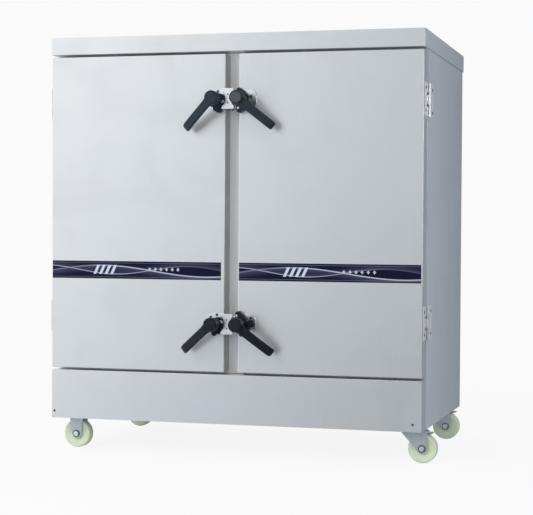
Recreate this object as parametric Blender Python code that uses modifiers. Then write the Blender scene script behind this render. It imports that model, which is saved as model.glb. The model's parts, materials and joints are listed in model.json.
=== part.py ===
"""Double-door steam cabinet for rice and buns, on four castors.

Metres, +Z up. +X is to the right of someone who faces the doors, and the doors face -Y.
The origin is on the floor, under the middle of the whole: handles, hinges, castors and vent pipe.
Places below are measured from the middle of the case, which stands at CASE_MIDDLE_X.
"""
import math

import bmesh
import bpy
from mathutils import Matrix, Vector

# Clearances
SEAT = 0.0003                 # between pieces that touch
PLAY = 0.0005                 # round a pin or post that something turns on
OVERRUN = 0.010               # how far a cutter passes the faces that it cuts
WELD = 0.00002                # mesh points closer than this are one point

# Casing
CASE_WIDTH = 1.334
CASE_DEPTH = 0.652            # front frame to back panel
PANEL_SKIRT = 0.017           # the panels reach this far below the chassis
BASE_HEIGHT = 0.170           # front panel below the doors
CAP_HEIGHT = 0.061
CAP_SIDE_LIP = 0.003
CAP_BACK_LIP = 0.008
SHEET = 0.0015
FOLD_RADIUS = 0.0025          # outside radius of a folded edge
SIDE_RETURN = 0.018           # inward folds of the side panels
CHASSIS_SHEET = 0.003
CHASSIS_RIM = 0.040
MULLION_WIDTH = 0.060
MULLION_DEPTH = 0.025         # behind the front frame
MULLION_CLEARANCE = 0.001     # doors' backs to the post between them
FRAME_DROP = 0.020            # the front frame reaches this far behind the base panel

# Doors
DOOR_HEIGHT = 1.086
DOOR_THICKNESS = 0.048
DOOR_GAP = 0.008              # over and under the doors
DOOR_SPLIT = 0.047            # between the doors
SEAL_GAP = 0.012              # door to front frame, which the gasket fills
DOOR_LINING = 0.0010
PLUG_DEPTH = 0.009            # raised middle of the door's inner panel
GASKET_WIDTH = 0.016
GASKET_MARGIN = 0.003         # chamber mouth to gasket
PLUG_MARGIN = 0.0015          # gasket to raised middle

# Steam chambers
CHAMBER_JAMB = 0.0242         # flange beside the chamber's mouth
CHAMBER_SILL = 0.043          # door's edges to the chamber's floor and ceiling
BACK_SPACE = 0.092            # behind the chambers and the tank
FLOOR_SPACE = 0.0554          # between the tank and the chambers
LINER_SHEET = 0.0012
TIER_PITCH = 0.100
FIRST_TIER = 0.100            # chamber floor to the lowest runner
LAST_TIER = 0.100             # chamber ceiling to the highest runner, at least
RUNNER_REACH = 0.016
RUNNER_THICKNESS = 0.003
RUNNER_MARGIN = 0.020         # runner's ends to the chamber's mouth and back

# Trays
TRAY_TIER_SHARES = (0.25, 0.75)
TRAY_SHEET = 0.0010
TRAY_HEIGHT = 0.048
TRAY_SIDE_GAP = 0.002         # tray's wall to the runners
TRAY_SETBACK = 0.030          # chamber's mouth and back to the tray
TRAY_RIM = 0.012

# Steam maker in the base
TANK_SIDE_SPACE = 0.117       # side panels to tank
TANK_SHEET = 0.002
TANK_SETBACK = 0.060          # front frame to tank
RISER_RADIUS = 0.030
RISER_RISE = 0.015            # above the chamber floor
RISER_SETBACK = 0.150         # tank's front wall to the risers
HEATER_RADIUS = 0.006
HEATER_PITCH = 0.070
HEATER_LENGTH = 0.340
HEATER_RUNS = 4
HEATER_RISE = 0.035           # tank floor to heater
HEATER_FLANGE = 0.030         # flange beyond the outer runs
HEATER_FLANGE_SHEET = 0.004
HEATER_TERMINAL = 0.018

# Fittings on the back
VENT_REACH = 0.075            # behind the back panel
VENT_RADIUS = 0.020
VENT_CROSS_RADIUS = 0.022
VENT_WALL = 0.0025
VENT_DROP = 0.050             # chamber ceiling to vent
VENT_SETBACK = 0.120          # chamber's back wall to the vent's cross pipe
VENT_END = 0.012              # cross pipe's ends inside the chambers
VENT_ROSE_RADIUS = 0.034
VENT_ROSE = 0.003
INLET_X = -0.250
INLET_DROP = 0.0546           # tank's top to the inlet
INLET_RADIUS = 0.011
INLET_BORE = 0.008
INLET_REACH = 0.030
DRAIN_X = 0.250
DRAIN_RISE = 0.030            # tank floor to drain
DRAIN_RADIUS = 0.012
DRAIN_BORE = 0.0075
DRAIN_BALL_RADIUS = 0.019
DRAIN_BALL_Y = 0.028          # back panel to the ball's middle
DRAIN_BALL_HALF = 0.014
DRAIN_REACH = 0.058
DRAIN_BORE_DEPTH = 0.022
DRAIN_STEM_RADIUS = 0.005
DRAIN_STEM = 0.034            # pipe's middle to the stem's top
LEVER_LENGTH = 0.085
LEVER_WIDTH = 0.014
LEVER_THICKNESS = 0.003
LEVER_RISE = 0.027            # pipe's middle to the lever's underside
GLAND_SIDE_SPACE = 0.217       # case's side to the gland
GLAND_DROP = 0.0646           # tank's top to the gland
GLAND_SHANK = 0.010
GLAND_FLANGE = 0.017
GLAND_NUT = 0.0145
GLAND_BORE = 0.006
GLAND_REACH = 0.028
GLAND_INSIDE = 0.012
GLAND_COLLAR = 0.006

# Hinges
HINGE_HEIGHT = 0.112
HINGE_SHEET = 0.0025
HINGE_BARREL = 0.0065
HINGE_PIN = 0.0032
HINGE_DOOR_LEAF = 0.052       # from the pin
HINGE_CASE_LEAF = 0.080
UPPER_HINGE_DROP = 0.163      # door's upper edge to the hinge's middle
LOWER_HINGE_RISE = 0.181      # door's lower edge to the hinge's middle

# Latches
LATCH_X = 0.044               # cabinet's middle to each handle's post
UPPER_LATCH_DROP = 0.157      # door's upper edge to the handle's post
LOWER_LATCH_RISE = 0.168      # door's lower edge to the handle's post
HANDLE_REACH = 0.092          # in front of the doors
LATCH_PLATE = 0.003
LATCH_PLATE_INNER = 0.0175    # from the post, towards the cabinet's middle
LATCH_PLATE_OUTER = 0.044
LATCH_PLATE_HALF = 0.034      # half its height
LATCH_PLATE_CORNER = 0.020    # radius at the plate's outer side
LATCH_PLATE_INNER_CORNER = 0.003
POST_RADIUS = 0.009
POST_END = 0.070              # in front of the doors
HUB_SKIRT_RADIUS = 0.0225
HUB_NECK_RADIUS = 0.0200
HUB_CAP_RADIUS = 0.0240
HUB_SKIRT_END = 0.036         # in front of the doors
HUB_NECK_END = 0.056
HUB_EDGE = 0.003
CAM_LENGTH = 0.034
CAM_ROOT = 0.019
CAM_TIP = 0.008
CAM_THICKNESS = 0.013
CAM_LEAD = 42.0               # degrees from arm to cam
ARM_LENGTH = 0.146
ARM_WIDTH = 0.029
ARM_THICKNESS = 0.013
ARM_TOP = 0.078               # arm's middle line at the hub, in front of the doors
ARM_DROP = 0.043
ARM_EDGE = 0.0030
ARM_LINE_SHARES = (           # along the arm, towards the door
    (0.00, 0.00), (0.20, 0.08), (0.42, 0.30), (0.66, 0.56), (0.84, 0.76), (0.94, 0.92), (1.00, 1.12))
REST_ANGLES = {               # degrees between a hanging arm and the arm at rest
    ("left", "upper"): 48.0, ("right", "upper"): 50.0,
    ("left", "lower"): 51.0, ("right", "lower"): 50.0}

# Keepers
KEEPER_FACE = 0.040           # doors to the back of the keeper's face plate
KEEPER_SHEET = 0.004
KEEPER_HALF_WIDTH = 0.0215
KEEPER_HALF_HEIGHT = 0.035
KEEPER_WAIST = 0.0335         # radius round the handles' posts that the face leaves free
KEEPER_STEM_WIDTH = 0.020
KEEPER_STEM_HEIGHT = 0.044
KEEPER_FOOT_WIDTH = 0.036
KEEPER_FOOT_HEIGHT = 0.066
KEEPER_FOOT = 0.003
HOURGLASS_STEPS = 5

# Castors
CASTOR_HEADROOM = 0.031       # over the wheel
WHEEL_RADIUS = 0.050
WHEEL_WIDTH = 0.032
WHEEL_HUB_WIDTH = 0.0344
WHEEL_HUB_RADIUS = 0.014
WHEEL_WEB_WIDTH = 0.027
WHEEL_RIM_INNER = 0.037
WHEEL_SHOULDER = 0.004
AXLE_RADIUS = 0.005
AXLE_HEAD_RADIUS = 0.0095
AXLE_HEAD = 0.005
LEG_GAP = 0.036               # between the fork's legs
LEG_SHEET = 0.003
LEG_TIP_RADIUS = 0.018
FRONT_CASTOR_Y = 0.085        # doors' faces to the front castors
REAR_CASTOR_Y = 0.085         # back panel to the rear castors
FIXED_CASTOR_INSET = 0.064    # left side panel to the rigid castors' axles
FRONT_SWIVEL_INSET = 0.053    # right side panel to the kingpins
REAR_SWIVEL_INSET = 0.075
CASTOR_PLATE_WIDTH = 0.096
CASTOR_PLATE_LENGTH = 0.080
CASTOR_PLATE = 0.003
FIXED_LEG_HALF = 0.029
TRAIL = 0.040                 # kingpin to wheel
RACE_RADIUS = 0.028
RACE_HEIGHT = 0.0075
CROWN_RADIUS = 0.031
CROWN_HEIGHT = 0.0117
KINGPIN_RADIUS = 0.007
KINGPIN_HEAD_RADIUS = 0.012
KINGPIN_HEAD = 0.003
LEG_TOP_DROP = 0.007          # crown's top to the legs' top edge
LEG_HEEL = 0.010
BRAKE_X = 0.052               # kingpin to the pedal's pin
BRAKE_RISE = 0.003            # wheel's top to the pedal's pin
BRAKE_EAR = 0.006
BRAKE_PIN = 0.0025
BRAKE_BARREL = 0.0035
PEDAL_END = 0.077             # from the kingpin
PEDAL_SHEET = 0.0025
PEDAL_WIDTH = 0.034
SHOE_START = 0.010            # from the pedal's pin
SHOE_END = 0.018
SHOE_DROP = 0.0045

# Facets
BARREL_SIDES = 12
ROD_SIDES = 16
HUB_SIDES = 16
WHEEL_SIDES = 24
HEX_SIDES = 6
ARC_STEPS = 5
BEND_STEPS = 6
FOLD_STEPS = 2
FLAT_ANGLE = 0.5              # degrees; faces that meet at less are one face
SMOOTH_ANGLE = 40.0           # degrees; edges sharper than this stay sharp
EDGE_ANGLE = 50.0             # degrees; edges sharper than this are rounded

# Levels worked out from the sizes above
CASE_HALF = CASE_WIDTH / 2
CASTOR_HEIGHT = 2 * WHEEL_RADIUS + CASTOR_HEADROOM
PANEL_CLEARANCE = CASTOR_HEIGHT - PANEL_SKIRT
OVERALL_DEPTH = HANDLE_REACH + DOOR_THICKNESS + SEAL_GAP + CASE_DEPTH + VENT_REACH
FRONT_Y = HANDLE_REACH - OVERALL_DEPTH / 2
DOOR_BACK_Y = FRONT_Y + DOOR_THICKNESS
FRAME_Y = DOOR_BACK_Y + SEAL_GAP
MULLION_FRONT_Y = DOOR_BACK_Y + MULLION_CLEARANCE
BACK_Y = FRAME_Y + CASE_DEPTH
BASE_TOP_Z = PANEL_CLEARANCE + BASE_HEIGHT
DOOR_BOTTOM_Z = BASE_TOP_Z + DOOR_GAP
DOOR_TOP_Z = DOOR_BOTTOM_Z + DOOR_HEIGHT
CAP_BOTTOM_Z = DOOR_TOP_Z + DOOR_GAP
CAP_TOP_Z = CAP_BOTTOM_Z + CAP_HEIGHT
CASE_TOP_Z = CAP_TOP_Z - SHEET - SEAT
FRAME_BOTTOM_Z = BASE_TOP_Z - FRAME_DROP
CHASSIS_BOTTOM_Z = CASTOR_HEIGHT + SEAT
CHASSIS_FLOOR_Z = CHASSIS_BOTTOM_Z + CHASSIS_SHEET
CHASSIS_TOP_Z = CHASSIS_BOTTOM_Z + CHASSIS_RIM
TANK_BOTTOM_Z = CHASSIS_FLOOR_Z + SEAT
CHAMBER_FLOOR_Z = DOOR_BOTTOM_Z + CHAMBER_SILL
CHAMBER_TOP_Z = DOOR_TOP_Z - CHAMBER_SILL
CHAMBER_BACK_Y = BACK_Y - BACK_SPACE
TANK_TOP_Z = CHAMBER_FLOOR_Z - FLOOR_SPACE
TANK_FRONT_Y = FRAME_Y + TANK_SETBACK
TANK_BACK_Y = BACK_Y - BACK_SPACE
TANK_HALF = CASE_HALF - TANK_SIDE_SPACE
FLANGE_INNER_X = MULLION_WIDTH / 2 + SEAT
FLANGE_OUTER_X = CASE_HALF - SIDE_RETURN - SEAT
CHAMBER_INNER_X = FLANGE_INNER_X + CHAMBER_JAMB
CHAMBER_OUTER_X = FLANGE_OUTER_X - CHAMBER_JAMB
CHAMBER_MIDDLE_X = (CHAMBER_INNER_X + CHAMBER_OUTER_X) / 2
LAST_TIER_INDEX = round((CHAMBER_TOP_Z - CHAMBER_FLOOR_Z - FIRST_TIER - LAST_TIER) / TIER_PITCH)
HINGE_X = CASE_HALF + SEAT + HINGE_BARREL
HINGE_Y = DOOR_BACK_Y + SEAL_GAP / 2
RISER_Y = TANK_FRONT_Y + RISER_SETBACK
VENT_Y = CHAMBER_BACK_Y - VENT_SETBACK
VENT_Z = CHAMBER_TOP_Z - VENT_DROP
DRAIN_Z = TANK_BOTTOM_Z + DRAIN_RISE
INLET_Z = TANK_TOP_Z - INLET_DROP
GLAND_X = GLAND_SIDE_SPACE - CASE_HALF
GLAND_Z = TANK_TOP_Z - GLAND_DROP
FIXED_CASTOR_X = CASE_HALF - FIXED_CASTOR_INSET
FRONT_SWIVEL_X = CASE_HALF - FRONT_SWIVEL_INSET
REAR_SWIVEL_X = CASE_HALF - REAR_SWIVEL_INSET
BRAKE_Z = 2 * WHEEL_RADIUS + BRAKE_RISE
CROWN_TOP_Z = CASTOR_HEIGHT - CASTOR_PLATE - RACE_HEIGHT - SEAT
LEFT_REACH = HINGE_X + HINGE_BARREL
RIGHT_REACH = FRONT_SWIVEL_X + max(PEDAL_END, TRAIL + WHEEL_RADIUS * math.cos(math.pi / WHEEL_SIDES))
CASE_MIDDLE_X = (LEFT_REACH - RIGHT_REACH) / 2
SIDES = {"left": -1, "right": 1}
LATCH_LEVELS = {"upper": DOOR_TOP_Z - UPPER_LATCH_DROP, "lower": DOOR_BOTTOM_Z + LOWER_LATCH_RISE}
HINGE_LEVELS = {"upper": DOOR_TOP_Z - UPPER_HINGE_DROP, "lower": DOOR_BOTTOM_Z + LOWER_HINGE_RISE}

# Colour, metallic and roughness of each finish
FINISHES = {
    "case_steel": ((0.62, 0.65, 0.68), 1.0, 0.32),
    "inner_steel": ((0.66, 0.67, 0.68), 1.0, 0.28),
    "frame_steel": ((0.48, 0.50, 0.52), 1.0, 0.40),
    "hinge_steel": ((0.80, 0.81, 0.82), 1.0, 0.22),
    "latch_zinc": ((0.82, 0.83, 0.84), 1.0, 0.25),
    "handle_black": ((0.035, 0.042, 0.050), 0.0, 0.45),
    "castor_zinc": ((0.60, 0.62, 0.62), 1.0, 0.35),
    "wheel_nylon": ((0.80, 0.82, 0.68), 0.0, 0.45),
    "gasket_silicone": ((0.78, 0.78, 0.76), 0.0, 0.60),
    "foam": ((0.86, 0.76, 0.48), 0.0, 0.90),
    "heater_alloy": ((0.42, 0.40, 0.37), 1.0, 0.45),
    "valve_brass": ((0.72, 0.58, 0.30), 1.0, 0.35),
    "lever_red": ((0.62, 0.08, 0.06), 0.0, 0.40),
    "gland_nylon": ((0.10, 0.10, 0.11), 0.0, 0.50),
}


def clear_scene():
    for item in list(bpy.data.objects):
        bpy.data.objects.remove(item, do_unlink=True)


def make_collection(name):
    folder = bpy.data.collections.new(name)
    bpy.context.scene.collection.children.link(folder)
    return folder


def make_material(name):
    colour, metallic, roughness = FINISHES[name]
    material = bpy.data.materials.new(name)
    material.use_nodes = True
    shader = material.node_tree.nodes["Principled BSDF"]
    shader.inputs["Base Color"].default_value = (*colour, 1)
    shader.inputs["Metallic"].default_value = metallic
    shader.inputs["Roughness"].default_value = roughness
    material.diffuse_color = (*colour, 1)
    return material


clear_scene()
PARTS = make_collection("steam_cabinet")
TOOLS = make_collection("construction")
MATERIALS = {name: make_material(name) for name in FINISHES}
PIVOT_PLACES = {}


# Shapes. Each returns a construction object, and finish() makes one a piece of the cabinet.

def as_tool(name, mesh):
    item = bpy.data.objects.new(name, mesh)
    item.display_type = "WIRE"
    item.hide_render = True
    TOOLS.objects.link(item)
    return item


def tool_from(name, shape, smooth=False):
    mesh = bpy.data.meshes.new(name)
    shape.to_mesh(mesh)
    shape.free()
    if smooth:
        mesh.shade_smooth()
        mesh.set_sharp_from_angle(angle=math.radians(SMOOTH_ANGLE))
    return as_tool(name, mesh)


def block(name, corner, far_corner, folds=()):
    """A box between two opposite corners; the borders of the faces in folds are rounded."""
    low = Vector([min(pair) for pair in zip(corner, far_corner)])
    high = Vector([max(pair) for pair in zip(corner, far_corner)])
    shape = bmesh.new()
    place = Matrix.Translation((low + high) / 2) @ Matrix.Diagonal((*(high - low), 1))
    bmesh.ops.create_cube(shape, size=1, matrix=place)
    for fold in folds:
        normal = Vector(fold)
        face = max(shape.faces, key=lambda candidate: candidate.normal.dot(normal))
        bmesh.ops.bevel(shape, geom=list(face.edges), offset=FOLD_RADIUS, segments=FOLD_STEPS,
                        profile=0.5, affect="EDGES")
    return tool_from(name, shape)


def rod(name, start, end, radius, sides=ROD_SIDES):
    """A solid round bar between two points."""
    start, end = Vector(start), Vector(end)
    place = Matrix.Translation((start + end) / 2)
    place @= (end - start).to_track_quat("Z", "Y").to_matrix().to_4x4()
    shape = bmesh.new()
    bmesh.ops.create_cone(shape, cap_ends=True, segments=sides, radius1=radius, radius2=radius,
                          depth=(end - start).length, matrix=place)
    return tool_from(name, shape, smooth=True)


def turned(name, profile, place, axis, sides, closed=False):
    """A turned solid: (radius, height) pairs run down its outer side, from the top."""
    mesh = bpy.data.meshes.new(name)
    count = len(profile)
    edges = [(index, index + 1) for index in range(count - 1)]
    if closed:
        edges.append((count - 1, 0))
    mesh.from_pydata([(radius, 0, height) for radius, height in profile], edges, [])
    item = as_tool(name, mesh)
    item.location = place
    item.rotation_euler = Vector(axis).to_track_quat("Z", "Y").to_euler()
    screw = item.modifiers.new("turn", "SCREW")
    screw.steps = screw.render_steps = sides
    screw.use_smooth_shade = True
    screw.use_merge_vertices = True
    screw.merge_threshold = WELD
    return item


def outline_plate(name, points, thickness, place, edge=0):
    """A flat plate of the outlined shape, half its thickness each side of place's XY plane."""
    curve = bpy.data.curves.new(name, "CURVE")
    curve.dimensions = "2D"
    curve.fill_mode = "BOTH"
    curve.extrude = thickness / 2
    spline = curve.splines.new("POLY")
    spline.points.add(len(points) - 1)
    for point, (x, y) in zip(spline.points, points):
        point.co = (x, y, 0, 1)
    spline.use_cyclic_u = True
    item = mesh_from_curve(name, curve, place)
    if edge:
        bevel = item.modifiers.new("rounded_edge", "BEVEL")
        bevel.width = edge
        bevel.segments = FOLD_STEPS
        bevel.limit_method = "ANGLE"
        bevel.angle_limit = math.radians(EDGE_ANGLE)
    return item


def bent_tube(name, points, radius):
    """A round tube or bar along straight runs between points."""
    curve = bpy.data.curves.new(name, "CURVE")
    curve.dimensions = "3D"
    curve.bevel_depth = radius
    curve.bevel_resolution = 2
    curve.use_fill_caps = True
    spline = curve.splines.new("POLY")
    spline.points.add(len(points) - 1)
    for point, place in zip(spline.points, points):
        point.co = (*place, 1)
    return mesh_from_curve(name, curve, Matrix.Identity(4))


def mesh_from_curve(name, curve, place):
    item = bpy.data.objects.new(name + "_curve", curve)
    TOOLS.objects.link(item)
    item.matrix_world = place
    bpy.context.view_layer.update()
    evaluated = item.evaluated_get(bpy.context.evaluated_depsgraph_get())
    mesh = bpy.data.meshes.new_from_object(evaluated)
    shape = bmesh.new()
    shape.from_mesh(mesh)
    bmesh.ops.remove_doubles(shape, verts=shape.verts, dist=WELD)
    bmesh.ops.dissolve_limit(shape, angle_limit=math.radians(FLAT_ANGLE), verts=shape.verts,
                             edges=shape.edges)
    bmesh.ops.recalc_face_normals(shape, faces=shape.faces)
    shape.to_mesh(mesh)
    shape.free()
    result = as_tool(name, mesh)
    result.matrix_world = item.matrix_world.copy()
    bpy.data.objects.remove(item, do_unlink=True)
    return result


def combine(piece, others, operation):
    for other in others:
        boolean = piece.modifiers.new(other.name, "BOOLEAN")
        boolean.operation = operation
        boolean.object = other
        boolean.solver = "EXACT"
    return piece


def cut(piece, *others):
    return combine(piece, others, "DIFFERENCE")


def fuse(piece, *others):
    return combine(piece, others, "UNION")


def pan(name, corner, far_corner, wall, open_to, folds=()):
    """A folded sheet box, open towards each direction in open_to."""
    hollow_low, hollow_high = [], []
    for axis, pair in enumerate(zip(corner, far_corner)):
        low, high = min(pair), max(pair)
        opens_down = any(side[axis] < 0 for side in open_to)
        opens_up = any(side[axis] > 0 for side in open_to)
        hollow_low.append(low - OVERRUN if opens_down else low + wall)
        hollow_high.append(high + OVERRUN if opens_up else high - wall)
    body = block(name, corner, far_corner, folds)
    return cut(body, block(name + "_hollow", hollow_low, hollow_high))


def arc(centre_x, centre_y, radius, start, end, steps=ARC_STEPS):
    """Points along an arc, both ends included; the angles are in degrees."""
    angles = [math.radians(start + (end - start) * step / steps) for step in range(steps + 1)]
    return [(centre_x + radius * math.cos(angle), centre_y + radius * math.sin(angle))
            for angle in angles]


def link_outline(root, tip, length):
    """The outline round two circles, one at the middle and one a length along +X."""
    lean = math.degrees(math.acos((root - tip) / length))
    return arc(length, 0, tip, -lean, lean) + arc(0, 0, root, lean, 360 - lean, ARC_STEPS + 2)


def rounded_outline(low_x, high_x, half_height, low_radius, high_radius):
    """A rectangle with one corner radius at its low X side and another at its high X side."""
    return (arc(high_x - high_radius, half_height - high_radius, high_radius, 0, 90)
            + arc(low_x + low_radius, half_height - low_radius, low_radius, 90, 180)
            + arc(low_x + low_radius, low_radius - half_height, low_radius, 180, 270)
            + arc(high_x - high_radius, high_radius - half_height, high_radius, 270, 360))


def pivot(name, place, parent=None):
    """An empty on a joint's axis, or at the origin for what stands still."""
    empty = bpy.data.objects.new(name, None)
    PARTS.objects.link(empty)
    PIVOT_PLACES[name] = Vector(place)
    empty.location = PIVOT_PLACES[name]
    if parent:
        empty.parent = parent
        empty.location = PIVOT_PLACES[name] - PIVOT_PLACES[parent.name]
    return empty


def finish(piece, material, carrier):
    """Make a construction object a piece of the cabinet, carried by an empty."""
    TOOLS.objects.unlink(piece)
    PARTS.objects.link(piece)
    piece.display_type = "TEXTURED"
    piece.hide_render = False
    piece.data.materials.clear()
    piece.data.materials.append(MATERIALS[material])
    piece.location -= PIVOT_PLACES[carrier.name]
    piece.parent = carrier
    return piece


def facing_front(x, y, z, turn=0):
    """Local X runs right, local Y up and local Z to the front; turn is in degrees, from the front."""
    return (Matrix.Translation((x, y, z)) @ Matrix.Rotation(math.radians(90), 4, "X")
            @ Matrix.Rotation(math.radians(turn), 4, "Z"))


# Casing

def make_cap(case):
    low = (-CASE_HALF - CAP_SIDE_LIP, FRONT_Y, CAP_BOTTOM_Z)
    high = (CASE_HALF + CAP_SIDE_LIP, BACK_Y + CAP_BACK_LIP, CAP_TOP_Z)
    cap = pan("top_cap", low, high, SHEET, [], folds=[(0, 0, 1)])
    mouth_low = (low[0] + SHEET, FRAME_Y, low[2] - OVERRUN)
    mouth_high = (high[0] - SHEET, high[1] - SHEET, high[2] - SHEET)
    cut(cap, block("top_cap_mouth", mouth_low, mouth_high))
    finish(cap, "case_steel", case)


def make_side_panel(side, case):
    sign = SIDES[side]
    back = BACK_Y - SHEET - SEAT
    panel = pan(side + "_side_panel", (sign * (CASE_HALF - SIDE_RETURN), FRAME_Y, PANEL_CLEARANCE),
                (sign * CASE_HALF, back, CASE_TOP_Z), SHEET, [(-sign, 0, 0), (0, 0, 1), (0, 0, -1)])
    notch = block(side + "_side_notch",
                  (sign * (CASE_HALF - SIDE_RETURN - OVERRUN), FRAME_Y - OVERRUN, PANEL_CLEARANCE - OVERRUN),
                  (sign * (CASE_HALF - SHEET), back + OVERRUN, CHASSIS_TOP_Z + SEAT))
    finish(cut(panel, notch), "case_steel", case)


def make_back_panel(case):
    panel = block("back_panel", (-CASE_HALF, BACK_Y - SHEET, PANEL_CLEARANCE),
                  (CASE_HALF, BACK_Y, CASE_TOP_Z))
    holes = {"vent": (0, VENT_Z, VENT_RADIUS), "inlet": (INLET_X, INLET_Z, INLET_RADIUS),
             "drain": (DRAIN_X, DRAIN_Z, DRAIN_RADIUS), "gland": (GLAND_X, GLAND_Z, GLAND_SHANK)}
    for name, (x, z, radius) in holes.items():
        cut(panel, rod(name + "_hole", (x, BACK_Y - OVERRUN, z), (x, BACK_Y + OVERRUN, z), radius + SEAT))
    finish(panel, "case_steel", case)


def make_base(case):
    front = pan("base_front_panel", (-CASE_HALF, FRONT_Y, PANEL_CLEARANCE),
                (CASE_HALF, FRAME_Y - SEAT, BASE_TOP_Z), SHEET, [(0, 1, 0), (0, 0, -1)],
                folds=[(0, -1, 0)])
    finish(front, "case_steel", case)
    inset = SHEET + SEAT
    chassis = pan("chassis", (inset - CASE_HALF, FRONT_Y + inset, CHASSIS_BOTTOM_Z),
                  (CASE_HALF - inset, BACK_Y - inset, CHASSIS_TOP_Z), CHASSIS_SHEET, [(0, 0, 1)])
    cut(chassis, rod("chassis_drain_slot", (DRAIN_X, TANK_BACK_Y, DRAIN_Z),
                     (DRAIN_X, BACK_Y, DRAIN_Z), DRAIN_RADIUS + SEAT))
    finish(chassis, "frame_steel", case)


def make_mullion(case):
    half = MULLION_WIDTH / 2
    nose_bottom, nose_top = BASE_TOP_Z + SEAT, CAP_BOTTOM_Z - SEAT
    mullion = pan("centre_mullion", (-half, FRAME_Y, FRAME_BOTTOM_Z),
                  (half, FRAME_Y + MULLION_DEPTH, CASE_TOP_Z), SHEET, [(0, 1, 0)])
    fuse(mullion, block("mullion_nose", (-half, MULLION_FRONT_Y, nose_bottom),
                        (half, FRAME_Y + SHEET, nose_top)))
    cut(mullion, block("mullion_nose_hollow", (SHEET - half, MULLION_FRONT_Y + SHEET, nose_bottom + SHEET),
                       (half - SHEET, FRAME_Y + OVERRUN, nose_top - SHEET)))
    finish(mullion, "case_steel", case)


# Steam chambers

def runner_rack(name, wall_x, inward):
    """The runners of one wall, one above the other, sunk into the wall by half its sheet."""
    z = CHAMBER_FLOOR_Z + FIRST_TIER
    rack = block(name, (wall_x - inward * LINER_SHEET / 2, FRAME_Y + RUNNER_MARGIN, z - RUNNER_THICKNESS),
                 (wall_x + inward * RUNNER_REACH, CHAMBER_BACK_Y - RUNNER_MARGIN, z))
    tiers = rack.modifiers.new("tiers", "ARRAY")
    tiers.count = LAST_TIER_INDEX + 1
    tiers.use_relative_offset = False
    tiers.use_constant_offset = True
    tiers.constant_offset_displace = (0, 0, TIER_PITCH)
    return rack


def make_liner(side, case):
    sign = SIDES[side]
    name = side + "_chamber_liner"
    wall = LINER_SHEET
    liner = block(name, (sign * FLANGE_INNER_X, FRAME_Y, FRAME_BOTTOM_Z),
                  (sign * FLANGE_OUTER_X, FRAME_Y + wall, CASE_TOP_Z))
    fuse(liner, block(name + "_walls", (sign * (CHAMBER_INNER_X - wall), FRAME_Y, CHAMBER_FLOOR_Z - wall),
                      (sign * (CHAMBER_OUTER_X + wall), CHAMBER_BACK_Y + wall, CHAMBER_TOP_Z + wall)))
    cut(liner, block(name + "_space", (sign * CHAMBER_INNER_X, FRAME_Y - OVERRUN, CHAMBER_FLOOR_Z),
                     (sign * CHAMBER_OUTER_X, CHAMBER_BACK_Y, CHAMBER_TOP_Z)))
    fuse(liner, runner_rack(name + "_inner_runners", sign * CHAMBER_INNER_X, sign),
         runner_rack(name + "_outer_runners", sign * CHAMBER_OUTER_X, -sign))
    riser_x = sign * CHAMBER_MIDDLE_X
    cut(liner, rod(name + "_riser_hole", (riser_x, RISER_Y, CHAMBER_FLOOR_Z - OVERRUN),
                   (riser_x, RISER_Y, CHAMBER_FLOOR_Z + OVERRUN), RISER_RADIUS + SEAT),
        rod(name + "_vent_hole", (sign * (CHAMBER_INNER_X - OVERRUN), VENT_Y, VENT_Z),
            (sign * (CHAMBER_INNER_X + OVERRUN), VENT_Y, VENT_Z), VENT_CROSS_RADIUS + SEAT))
    finish(liner, "inner_steel", case)


def make_tray(side, name, tier, case):
    sign = SIDES[side]
    rim_z = CHAMBER_FLOOR_Z + FIRST_TIER + tier * TIER_PITCH + SEAT
    inset = RUNNER_REACH + TRAY_SIDE_GAP
    inner_x, outer_x = CHAMBER_INNER_X + inset, CHAMBER_OUTER_X - inset
    front_y = FRAME_Y + TRAY_SETBACK
    back_y = CHAMBER_BACK_Y - TRAY_SETBACK
    top_z = rim_z + TRAY_SHEET
    node = side + "_" + name + "_tray"
    tray = block(node, (sign * inner_x, front_y, top_z - TRAY_HEIGHT), (sign * outer_x, back_y, top_z))
    fuse(tray, block(node + "_rim", (sign * (inner_x - TRAY_RIM), front_y - TRAY_RIM, rim_z),
                     (sign * (outer_x + TRAY_RIM), back_y + TRAY_RIM, top_z)))
    cut(tray, block(node + "_space",
                    (sign * (inner_x + TRAY_SHEET), front_y + TRAY_SHEET, top_z - TRAY_HEIGHT + TRAY_SHEET),
                    (sign * (outer_x - TRAY_SHEET), back_y - TRAY_SHEET, top_z + OVERRUN)))
    finish(tray, "inner_steel", case)


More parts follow.
